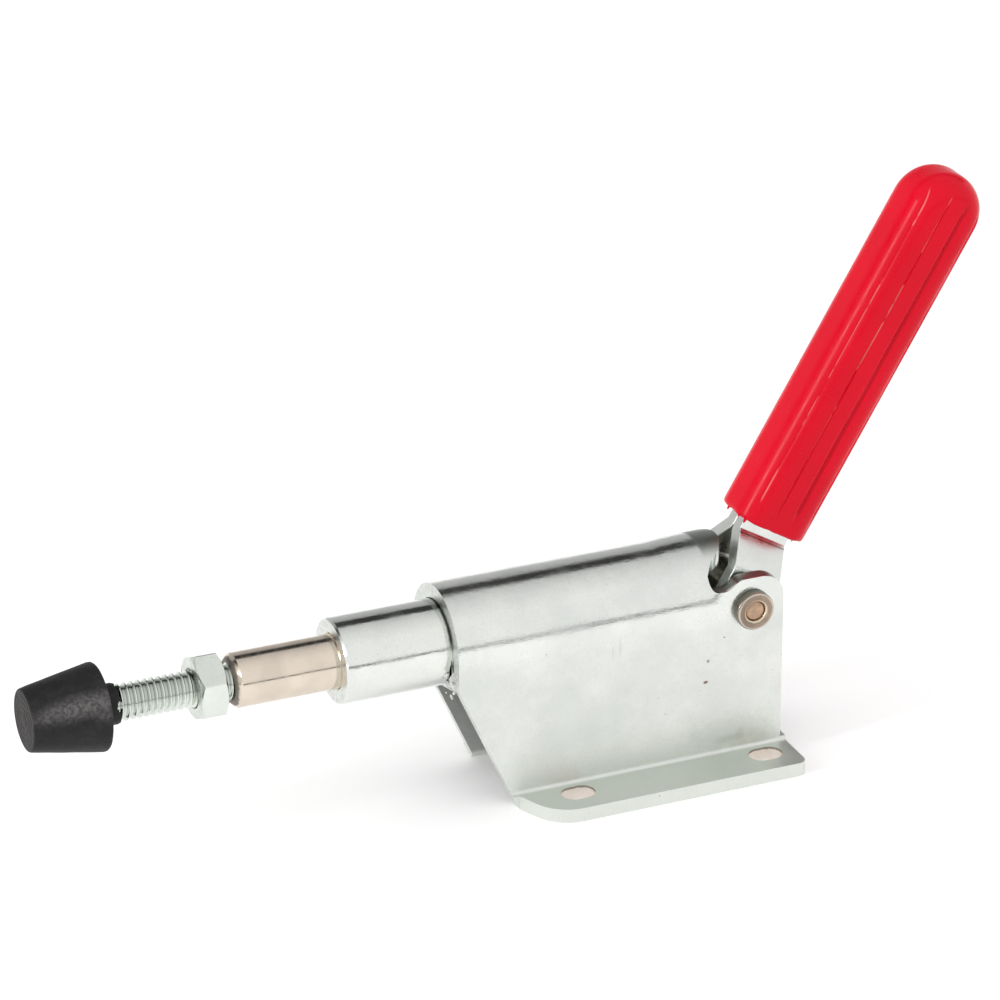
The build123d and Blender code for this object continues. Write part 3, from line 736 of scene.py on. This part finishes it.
def thread_tree():
    """A helical ridge wound round a core, along Z."""
    made = Tree("helical_thread", (("Radius", "NodeSocketFloat", 0.004),
                                   ("Pitch", "NodeSocketFloat", 0.0014),
                                   ("Depth", "NodeSocketFloat", 0.0008),
                                   ("Length", "NodeSocketFloat", 0.03),
                                   ("Material", "NodeSocketMaterial", None)))
    given = made.given.outputs
    root = made.minus(given["Radius"], given["Depth"])
    middle = made.minus(given["Radius"], made.times(given["Depth"], 0.5))
    spiral = made.new("GeometryNodeCurveSpiral", {"Resolution": 40,
                                                  "Rotations": made.calc("DIVIDE", given["Length"],
                                                  given["Pitch"]), "Start Radius": middle,
                                                  "End Radius": middle, "Height": given["Length"]})
    level = made.new("GeometryNodeSetCurveNormal", {"Curve": spiral.outputs[0]}, mode="Z_UP")
    ridge = made.new("GeometryNodeCurvePrimitiveQuadrilateral",
                     {"Bottom Width": made.times(given["Pitch"], 0.70),
                      "Top Width": made.times(given["Pitch"], 0.14), "Offset": 0.0,
                      "Height": given["Depth"]}, mode="TRAPEZOID")
    upright = made.new("GeometryNodeTransform", {"Geometry": ridge.outputs[0],
                                                 "Rotation": (0.0, 0.0, math.radians(90))})
    swept = made.new("GeometryNodeCurveToMesh", {"Curve": level.outputs[0],
                                                 "Profile Curve": upright.outputs[0],
                                                 "Fill Caps": True})
    core = made.new("GeometryNodeMeshCylinder", {"Vertices": 64, "Radius": made.plus(root, 0.00005),
                                                 "Depth": given["Length"]})
    up = made.new("ShaderNodeCombineXYZ", {"Z": made.times(given["Length"], 0.5)})
    lifted = made.new("GeometryNodeTransform", {"Geometry": core.outputs["Mesh"],
                                                "Translation": up.outputs[0]})
    both = made.new("GeometryNodeJoinGeometry")
    made.tree.links.new(swept.outputs[0], both.inputs[0])
    made.tree.links.new(lifted.outputs[0], both.inputs[0])
    made.finish(both.outputs[0])
    return made


def spatter_tree():
    """Small balls of several sizes on the points of a mesh."""
    made = Tree("weld_spatter", (("Points", "NodeSocketGeometry", None),
                                 ("Largest", "NodeSocketFloat", 0.0004),
                                 ("Smallest", "NodeSocketFloat", 0.00012),
                                 ("Seed", "NodeSocketInt", 7),
                                 ("Material", "NodeSocketMaterial", None)))
    given = made.given.outputs
    ball = made.new("GeometryNodeMeshIcoSphere", {"Radius": 1.0, "Subdivisions": 3})
    size = made.new("FunctionNodeRandomValue", {2: given["Smallest"], 3: given["Largest"],
                                                "Seed": given["Seed"]}, data_type="FLOAT")
    strewn = made.new("GeometryNodeInstanceOnPoints", {"Points": given["Points"],
                                                       "Instance": ball.outputs["Mesh"],
                                                       "Scale": size.outputs[1]})
    made.finish(strewn.outputs[0])
    return made


# ------------------------------------------------------------------ operators
class CLAMP_OT_sheet_metal(bpy.types.Operator):
    """Finish the folded body, the guide tube and the stamped arms in zinc"""
    bl_idname = "clamp.sheet_metal"
    bl_label = "Sheet metal"

    def execute(self, context):
        refined("body_shell", "body", "zinc_plated_steel", "sheet", 25, 0.35 * MM, rounded_lugs)
        refined("guide_tube", "body", "zinc_plated_steel", "tube", 25)
        for side in ("near", "far"):
            refined("handle_arm_" + side, "handle", "zinc_plated_steel", "arms", 25, 0.25 * MM)
            refined("link_plate_" + side, "link", "zinc_plated_steel", "zinc", 25)
            refined("crank_spacer_" + side, "link", "zinc_plated_steel", "zinc", 25)
        refined("crank_pin", "handle", "zinc_plated_steel", "zinc", 25)
        refined("link_pin", "link", "zinc_plated_steel", "zinc", 25)
        return {"FINISHED"}


class CLAMP_OT_plunger(bpy.types.Operator):
    """Finish the plunger and the parts of the pivot in nickel"""
    bl_idname = "clamp.plunger"
    bl_label = "Plunger and pivot"

    def execute(self, context):
        refined("plunger", "plunger", "nickel_plated_steel", "nickel", 25)
        refined("pivot_bush", "body", "nickel_plated_steel", "bush", 25)
        centre = pivot_centre()
        for side, name in ((1, "near"), (-1, "far")):
            low, high = span("pivot_collar_" + name)
            foot = low.y if side > 0 else high.y
            tall, radius = high.y - low.y, (high.z - low.z) / 2
            bore = radius - 2.05 * MM
            crown, middle, half = 0.62 * MM, (radius + bore) / 2, (radius - bore) / 2
            profile = [(0.0, bore)]
            for i in range(17):
                a = math.pi * i / 16
                profile.append((tall - crown * (1 - math.sin(a) ** 0.8), middle - half * math.cos(a)))
            profile.append((0.0, radius))
            mesh = turned("pivot_collar_fine_" + name, [(foot + side * up, r) for up, r in profile],
                          centre, "Y")
            place_mesh(mesh.name, mesh, "body", "nickel_plated_steel", "collar", "pivot_collar_" + name)
        head = bore - 0.03 * MM
        wall = span("pivot_collar_near")[0].y
        top = wall + tall - 0.45 * MM
        half = [(top, 0.0), (top, 1.2 * MM), (top - 0.05 * MM, 1.75 * MM),
                (top - 0.16 * MM, head - 0.2 * MM), (top - 0.45 * MM, head), (wall, head),
                (wall, 3.12 * MM)]
        profile = half + [(-along, r) for along, r in reversed(half)]
        mesh = turned("pivot_rivet", profile, centre, "Y", 72, dented)
        place_mesh("pivot_rivet", mesh, "body", "riveted_pin_end", "pin", "pivot_pin")
        return {"FINISHED"}


def dented(along, radius, a):
    """The hammered ends of the rivet are a little uneven."""
    if radius < 2.3 * MM:
        place = Vector((radius * math.cos(a), radius * math.sin(a), 0)) * 900
        along += math.copysign(0.05 * MM * noise.noise(place), along)
    return along, radius


class CLAMP_OT_spindle(bpy.types.Operator):
    """Wind the thread of the spindle and chamfer its jam nut"""
    bl_idname = "clamp.spindle"
    bl_label = "Spindle"

    def execute(self, context):
        thread = context.scene.clamp_thread
        low, high = span("spindle")
        head = 5.3 * MM
        made = thread_tree().apply("spindle_thread", {"Radius": thread.diameter / 2,
                                                      "Pitch": thread.pitch, "Depth": thread.depth,
                                                      "Length": high.x - low.x - head,
                                                      "Material": finish("zinc")})
        start = Matrix.Translation((low.x, 0, axis_height()))
        made.transform(start @ Matrix.Rotation(math.radians(90), 4, "Y"))
        for face in made.polygons:
            face.use_smooth = True
        made.set_sharp_from_angle(angle=math.radians(28))
        place_mesh("spindle_thread", made, "plunger", "zinc_plated_steel", "thread", "spindle")
        self.nut()
        return {"FINISHED"}

    def nut(self):
        """A hexagon whose corners are turned off to a cone on both faces."""
        low, high = span("jam_nut")
        centre = Vector((0, 0, axis_height()))
        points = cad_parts["jam_nut"].data.vertices
        corners = [Vector((v.co.y, v.co.z - centre.z)) for v in points]
        corner = max(corners, key=lambda c: c.length)
        start = math.atan2(corner.y, corner.x)
        flats = 2 * corner.length * math.cos(math.radians(30)) + 0.02 * MM
        face, bore = flats / 2 - 0.15 * MM, 3.75 * MM

        def hexagon(x, r, a):
            if r < 1.0:
                return x, r
            turn = (a - start) % math.radians(60) - math.radians(30)
            reach = min(flats / 2 / math.cos(turn), flats / 2 * 1.147)
            drop = (reach - face) * math.tan(math.radians(30)) + 0.05 * MM
            return (low.x + drop if r < 1.5 else high.x - drop), reach

        profile = [(low.x + 0.6 * MM, bore), (low.x, bore + 0.5 * MM), (low.x, face - 0.1 * MM),
                   (low.x + 0.04 * MM, face), (0.0, 1.2), (0.0, 1.8),
                   (high.x - 0.04 * MM, face), (high.x, face - 0.1 * MM),
                   (high.x, bore + 0.5 * MM), (high.x - 0.6 * MM, bore), (low.x + 0.6 * MM, bore)]
        rings = turned("jam_nut_fine", profile, centre, "X", 180, hexagon, 22.0)
        place_mesh("jam_nut_fine", rings, "plunger", "zinc_plated_steel", "thread", "jam_nut")


class CLAMP_OT_pad(bpy.types.Operator):
    """Mould the rubber pad"""
    bl_idname = "clamp.pad"
    bl_label = "Pad"

    def execute(self, context):
        low, high = span("rubber_cap")
        rear, front, wide = low.x, high.x, (high.z - low.z) / 2
        tip = wide - 2.7 * MM
        step = rear + 3.6 * MM
        profile = [(rear + 2 * MM, 3.7), (rear + 0.3 * MM, 3.9), (rear + 0.05 * MM, 4.02),
                   (rear + 0.12 * MM, 4.22), (rear + 0.4 * MM, 4.3), (rear + 1.2 * MM, 4.3),
                   (rear + 2.8 * MM, 4.32), (step - 0.35 * MM, 4.4), (step - 0.1 * MM, 4.62),
                   (step, 5.0)]
        profile = [(x, r * MM) for x, r in profile]
        profile += [(step - 0.02 * MM, wide - 1.3 * MM), (step + 0.03 * MM, wide - 0.75 * MM),
                    (step + 0.2 * MM, wide - 0.24 * MM), (step + 0.45 * MM, wide - 0.05 * MM),
                    (step + 0.95 * MM, wide - 0.02 * MM)]
        for part in range(1, 12):
            t = part / 12
            profile.append((step + 0.95 * MM + t * (front - step - 1.6 * MM),
                            wide - t * (wide - tip - 0.12 * MM)))
        profile += [(front - 0.4 * MM, tip + 0.02 * MM), (front - 0.2 * MM, tip - 0.06 * MM),
                    (front - 0.07 * MM, tip - 0.18 * MM), (front, tip - 0.38 * MM)]
        for radius in (5.3, 4.1, 2.9, 1.7):
            profile += [(front, (radius + 0.16) * MM), (front - 0.07 * MM, radius * MM),
                        (front, (radius - 0.16) * MM)]
        profile.append((front, 0.0))
        centre = Vector((0, 0, axis_height()))

        def torn(x, r, a):
            """The end of the collar is torn, and the moulding is a little uneven."""
            place = Vector((x * 260, 2.6 * math.cos(a), 2.6 * math.sin(a)))
            if x < rear + 1.0 * MM and r < 4.6 * MM:
                bite = noise.noise(Vector((5.0 * math.cos(a), 5.0 * math.sin(a), 0.3)))
                notch = math.exp(-((a - math.radians(12)) / math.radians(16)) ** 2)
                x += (0.35 * bite + 0.25 + 0.75 * notch) * MM
            return x, r + 0.045 * MM * noise.noise(place) * (r > 3.9 * MM)

        mesh = turned("rubber_pad", profile[::-1], centre, "X", 128, torn, 50.0)
        place_mesh("rubber_pad", mesh, "plunger", "black_rubber", "rubber", "rubber_cap")
        return {"FINISHED"}


class CLAMP_OT_grip(bpy.types.Operator):
    """Dip the grip over the arms"""
    bl_idname = "clamp.grip"
    bl_label = "Grip"

    def execute(self, context):
        grip = context.scene.clamp_grip
        low, high = span("handle_grip")
        thick = (high.y - low.y) / 2
        wide, edge = grip.width / 2, grip.edge_round
        centre = grip.end - wide
        pivot = pivot_centre()
        along = Vector((-math.cos(grip.tilt), 0, math.sin(grip.tilt)))
        front = Vector((math.sin(grip.tilt), 0, math.cos(grip.tilt)))
        # Place in pitches, width and depth: the moulded grooves are unlike each other.
        shapes = ((1.5, 0.7, 0.55), (0.5, 0.6, 1.0), (-0.5, 1.7, 1.1), (-1.5, 1.2, 0.8))
        grooves = [(place * grip.groove_pitch, wider * grip.groove_width, deeper)
                   for place, wider, deeper in shapes]

        across = set()
        for i in range(15):
            across.add(round(wide - edge + edge * math.sin(math.radians(90 * i / 14)), 7))
        for i in range(9):
            across.add(round((wide - edge) * i / 9, 7))
        for place, broad, _ in grooves:
            for part in (-1.0, -0.75, -0.5, -0.3, -0.15, 0, 0.15, 0.3, 0.5, 0.75, 1.0):
                across.add(round(abs(place + part * broad), 7))
        half = sorted(across, reverse=True)
        rows = half + [-r for r in reversed(half) if r > 0]

        def height(r):
            over = max(0.0, r - (wide - edge))
            return thick - edge + math.sqrt(max(0.0, edge * edge - over * over))

        def groove(f, s):
            if abs(f) > wide:
                return 0.0
            fade = min(1.0, max(0.0, (s - grip.mouth - 3.5 * MM) / (2.5 * MM)))
            fade *= min(1.0, max(0.0, (grip.end - 4.8 * MM - s) / (2.0 * MM)))
            total = 0.0
            for i, (place, broad, deeper) in enumerate(grooves):
                away = (f - place - 0.1 * MM * math.sin(s * 90 + i * 2)) / (broad / 2)
                worn = 0.85 + 0.5 * noise.noise(Vector((i * 9.0, s * 70, 3.0)))
                total += deeper * worn * math.exp(-away * away * 1.6)
            return grip.groove_depth * total * fade

        stations = [(0.0, 0.72), (0.12, 0.35), (0.4, 0.1), (0.9, 0.0)]
        places = [(grip.mouth + s * MM, inset * MM) for s, inset in stations]
        count = 52
        for i in range(1, count + 1):
            places.append((grip.mouth + 0.9 * MM + (centre - grip.mouth - 0.9 * MM) * i / count, 0.0))
        for i in range(1, 33):
            places.append((centre + wide * math.sin(math.radians(90 * i / 32)), 0.0))

        def ring(s, inset):
            beyond = max(0.0, s - centre)
            reach = math.sqrt(max(0.0, wide * wide - beyond * beyond)) / wide
            loop = []
            for sign in (1, -1):
                for f in (rows if sign > 0 else rows[::-1]):
                    r = math.hypot(beyond, f * reach)
                    y = height(min(r, wide)) - groove(f * reach, s)
                    crown = 0.12 * MM * math.cos(math.pi * min(1.0, abs(f) / wide) / 2)
                    y = max(y + crown * reach - 0.1 * MM, 0.0)
                    loop.append((f * reach, sign * y))
                side = -1 if sign > 0 else 1
                for part in (1, 2, 3, 4, 5):
                    y = sign * (thick - edge) * (1 - part / 3)
                    loop.append((side * wide * reach, y))
            out = []
            for f, y in loop:
                size = math.hypot(f, y)
                k = max(0.0, 1 - inset / size) if size else 1.0
                rim = 0.0
                if s < grip.mouth + 0.5 * MM:
                    rim = grip.flash * (noise.noise(Vector((f * 420, y * 420, 1.7))) - 0.25)
                point = pivot + along * (s + rim) + front * f * k
                out.append(Vector((point.x, y * k, point.z)))
            return out

        def collapse(s, squeeze_f, squeeze_y):
            first = ring(grip.mouth, 0.72 * MM)
            out = []
            for point in first:
                f = (point - pivot).dot(front)
                f = max(-squeeze_f, min(squeeze_f, f))
                y = max(-squeeze_y, min(squeeze_y, point.y))
                place = pivot + along * s + front * f
                out.append(Vector((place.x, y, place.z)))
            return out

        rings = [collapse(grip.mouth + 2.5 * MM, 5.9 * MM, 2.8 * MM),
                 collapse(grip.mouth + 0.5 * MM, 6.2 * MM, 3.1 * MM)]
        rings += [ring(s, inset) for s, inset in places]
        mesh = rings_to_mesh("grip_sleeve", rings, angle=60.0)
        self.tags(mesh, pivot, along, front, grip)
        place_mesh("grip_sleeve", mesh, "handle", "red_pvc", "grip", "handle_grip")
        return {"FINISHED"}

    def tags(self, mesh, pivot, along, front, grip):
        """Little tags of plastic left hanging at the mouth."""
        bm = bmesh.new()
        bm.from_mesh(mesh)
        wide = grip.width / 2
        for f, y, size in ((wide - 0.5 * MM, -1.2 * MM, 0.55), (wide - 1.7 * MM, 4.6 * MM, 0.75),
                           (wide - 0.8 * MM, 3.1 * MM, 0.4), (-wide + 4 * MM, 6.0 * MM, 0.35)):
            place = pivot + along * (grip.mouth - 0.1 * MM) + front * f
            place.y = y
            turn = Matrix((front, Vector((0, 1, 0)), along)).transposed().to_4x4()
            stretch = Matrix.Diagonal((0.45 * size, 0.5 * size, 1.1 * size, 1))
            turn = Matrix.Translation(place) @ turn @ stretch
            made = bmesh.ops.create_icosphere(bm, subdivisions=2, radius=MM, matrix=turn)
            for vert in made["verts"]:
                for face in vert.link_faces:
                    face.smooth = True
        bm.to_mesh(mesh)
        bm.free()


class CLAMP_OT_weld(bpy.types.Operator):
    """Lay the weld beads under the guide tube, with their spatter"""
    bl_idname = "clamp.weld"
    bl_label = "Weld"

    def execute(self, context):
        spatter = spatter_tree()
        centre = axis_height()
        low, high = span("guide_tube")
        tube = (high.z - low.z) / 2
        root = tube - 0.25 * MM
        y0, z0 = root * math.cos(math.radians(-72)), -root * math.sin(math.radians(72))
        front = span("body_shell")[1].x
        for side, name in ((1, "near"), (-1, "far")):
            low, high = span("weld_bead_" + name)
            wall = max(abs(low.y), abs(high.y))
            y1, z1 = wall + 0.05 * MM, -tube - 0.6 * MM
            rings = []
            start, stop = low.x, front + 0.35 * MM
            steps = 44
            for i in range(steps + 1):
                t = i / steps
                x = start + (stop - start) * t
                swell = math.sin(math.pi * t) ** 0.35 if 0 < t < 1 else 0.0
                jitter = 0.3 * noise.noise(Vector((x * 300, side * 3.0, 0.5)))
                ripple = 0.16 * math.sin(x / MM * 3.6) + jitter
                ring = []
                for k in range(15):
                    u = k / 14
                    inner = math.radians(-20 - 52 * u)
                    ring.append(Vector((x, side * root * math.cos(inner),
                                        centre + root * math.sin(inner))))
                for k in range(17):
                    u = k / 16
                    y = y0 + (y1 - y0) * u
                    z = z0 + (z1 - z0) * u
                    lump = 0.35 * noise.noise(Vector((x * 620, y * 620, side * 2.0)))
                    out = (0.55 + ripple + lump) * math.sin(math.pi * u) * MM
                    floor_z = 0.0
                    if y < tube:
                        floor_z = -(tube + 0.1 * MM) * math.sin(math.acos(min(1.0, y / tube)))
                    z = floor_z + (z - out - floor_z) * swell
                    ring.append(Vector((x, side * y, centre + z)))
                ring.append(Vector((x, side * y1, centre - 0.34 * tube)))
                rings.append(ring)
            mesh = rings_to_mesh("weld_" + name, rings, angle=70.0)
            place_mesh("weld_" + name, mesh, "body", "weld_metal", "weld", "weld_bead_" + name)

        thread = context.scene.clamp_thread
        points = bpy.data.meshes.new("spatter_points")
        spots = ((46.4, 7.9, -9.6), (46.7, 5.6, -9.3),
                 (46.9, 8.6, -8.6), (47.0, 9.4, -5.4), (46.7, 9.6, -7.6), (47.1, 7.2, -6.0))
        points.from_pydata([(x * MM, y * MM, centre + z * MM) for x, y, z in spots], [], [])
        made = spatter.apply("weld_spatter", {"Largest": thread.spatter,
                                              "Smallest": thread.spatter * 0.4, "Seed": 11,
                                              "Material": finish("weld")}, points)
        for face in made.polygons:
            face.use_smooth = True
        place_mesh("weld_spatter", made, "body", "weld_metal", "weld")
        return {"FINISHED"}


def tent_finish(steps):
    """Brightness of the tent by the angle about the X axis, in steps of (angle, level)."""
    material = bpy.data.materials.new("tent_cloth")
    material.use_nodes = True
    made = Wiring(material.node_tree)
    nodes = made.tree.nodes
    nodes.remove(nodes["Principled BSDF"])
    place = made.new("ShaderNodeTexCoord").outputs["Object"]
    parts = made.new("ShaderNodeSeparateXYZ", {0: place}).outputs
    turn = made.calc("ARCTAN2", made.minus(parts["Z"], axis_height()), parts["Y"])
    share = made.new("ShaderNodeMapRange", {"Value": turn, "From Min": math.radians(-10),
                                            "From Max": math.radians(180)})
    ramp = made.new("ShaderNodeValToRGB", {"Fac": share.outputs["Result"]})
    stops = ramp.color_ramp.elements
    while len(stops) > 1:
        stops.remove(stops[0])
    for i, (angle, level) in enumerate(steps):
        where = (angle + 10) / 190
        stop = stops[0] if i == 0 else stops.new(where)
        stop.position = where
        stop.color = (level, level, level, 1)
    glow = made.new("ShaderNodeEmission", {"Color": ramp.outputs["Color"], "Strength": 1.0})
    made.tree.links.new(glow.outputs[0], nodes["Material Output"].inputs["Surface"])
    return material


def tent(reach, half, low, high, steps):
    """Cloth round the table that only mirrors see, curved about the X axis."""
    count = 64
    corners, faces = [], []
    for i in range(count + 1):
        a = math.radians(low + (high - low) * i / count)
        for x in (-half, half):
            corners.append((x, reach * math.cos(a), axis_height() + reach * math.sin(a)))
    for i in range(count):
        faces.append((2 * i, 2 * i + 1, 2 * i + 3, 2 * i + 2))
    mesh = bpy.data.meshes.new("tent")
    mesh.from_pydata(corners, [], faces)
    cloth = linked("tent", mesh)
    mesh.materials.append(tent_finish(steps))
    cloth.visible_camera = False
    cloth.visible_diffuse = False
    cloth.visible_transmission = False
    cloth.visible_shadow = False


def seen_ray(made):
    """1 for the rays of the camera and those that metal and glass pass on."""
    path = made.new("ShaderNodeLightPath").outputs
    passed = made.most(path["Is Glossy Ray"], path["Is Transmission Ray"])
    return made.most(path["Is Camera Ray"], passed)


class CLAMP_OT_studio(bpy.types.Operator):
    """Set the pale floor, the soft lights and the camera"""
    bl_idname = "clamp.studio"
    bl_label = "Studio"

    def execute(self, context):
        scene, studio = context.scene, context.scene.clamp_studio
        scene.view_settings.view_transform = "Standard"
        made = Finish("studio_floor", (0.93, 0.93, 0.93), 0.9, specular=0.0)
        made.shader.inputs["Emission Color"].default_value = (1, 1, 1, 1)
        made.set("Emission Strength", made.times(seen_ray(made), studio.paper))
        mesh = bpy.data.meshes.new("floor")
        mesh.from_pydata([(-3, -3, 0), (3, -3, 0), (3, 3, 0), (-3, 3, 0)], [], [(0, 1, 2, 3)])
        sheet = linked("floor", mesh)
        mesh.materials.append(made.material)
        scene.world = bpy.data.worlds.new("tent")
        scene.world.use_nodes = True
        made = Wiring(scene.world.node_tree)
        ground = made.tree.nodes["Background"]
        ground.inputs["Color"].default_value = (1, 1, 1, 1)
        ground.inputs["Strength"].default_value = studio.world
        white = made.new("ShaderNodeBackground", {"Color": (1, 1, 1, 1)})
        mix = made.new("ShaderNodeMixShader", {0: seen_ray(made), 1: ground.outputs[0],
                                               2: white.outputs[0]})
        made.tree.links.new(mix.outputs[0], made.tree.nodes["World Output"].inputs["Surface"])

        tent(1.2, 2.2, -1.2, 178.0, ((-1.2, 0.22), (3.2, 0.22), (5.5, 0.98), (58, 0.95), (90, 0.80),
                                     (115, 0.60), (120, 0.05), (138, 0.04), (144, 0.42), (178, 0.62)))

        key = linked("softbox", bpy.data.lights.new("softbox", "AREA"))
        key.data.energy = studio.key
        key.data.shape = "RECTANGLE"
        key.data.size, key.data.size_y = 0.10, 0.7
        key.location = Vector(studio.target) + 1.3 * Vector((0.925, 0.162, 0.341))
        aim = Vector(studio.target) - key.location
        key.rotation_euler = aim.to_track_quat("-Z", "Y").to_euler()

        a, e = studio.azimuth, studio.elevation
        back = Vector((math.sin(a) * math.cos(e), -math.cos(a) * math.cos(e), math.sin(e)))
        eye = linked("camera", bpy.data.cameras.new("camera"))
        eye.data.lens = studio.lens
        eye.data.sensor_width = 36.0
        eye.data.clip_start, eye.data.clip_end = 0.01, 20.0
        eye.location = Vector(studio.target) + studio.distance * back
        eye.rotation_euler = back.to_track_quat("Z", "Y").to_euler()
        scene.camera = eye
        return {"FINISHED"}


# ------------------------------------------------------------- panel, register
STEPS = (CLAMP_OT_sheet_metal, CLAMP_OT_plunger, CLAMP_OT_spindle, CLAMP_OT_pad,
         CLAMP_OT_grip, CLAMP_OT_weld, CLAMP_OT_studio)
GROUPS = {"clamp_finishes": ClampFinishes, "clamp_grip": ClampGrip,
          "clamp_thread": ClampThread, "clamp_studio": ClampStudio}


class CLAMP_PT_panel(bpy.types.Panel):
    """The clamp's pieces and their settings"""
    bl_idname = "CLAMP_PT_panel"
    bl_label = "Toggle clamp"
    bl_space_type = "VIEW_3D"
    bl_region_type = "UI"
    bl_category = "Toggle Clamp"

    def draw(self, context):
        for step in STEPS:
            self.layout.operator(step.bl_idname)
        for name, group in GROUPS.items():
            box = self.layout.box()
            for setting in group.__annotations__:
                box.prop(getattr(context.scene, name), setting)


def register():
    for group in GROUPS.values():
        bpy.utils.register_class(group)
    for step in STEPS + (CLAMP_PT_panel,):
        bpy.utils.register_class(step)
    for name, group in GROUPS.items():
        setattr(bpy.types.Scene, name, bpy.props.PointerProperty(type=group))


def unregister():
    for name in GROUPS:
        delattr(bpy.types.Scene, name)
    for step in (CLAMP_PT_panel,) + STEPS[::-1]:
        bpy.utils.unregister_class(step)
    for group in GROUPS.values():
        bpy.utils.unregister_class(group)


def main():
    register()
    bpy.ops.clamp.sheet_metal()
    bpy.ops.clamp.plunger()
    bpy.ops.clamp.spindle()
    bpy.ops.clamp.pad()
    bpy.ops.clamp.grip()
    bpy.ops.clamp.weld()
    bpy.ops.clamp.studio()


if __name__ == "__main__":
    main()
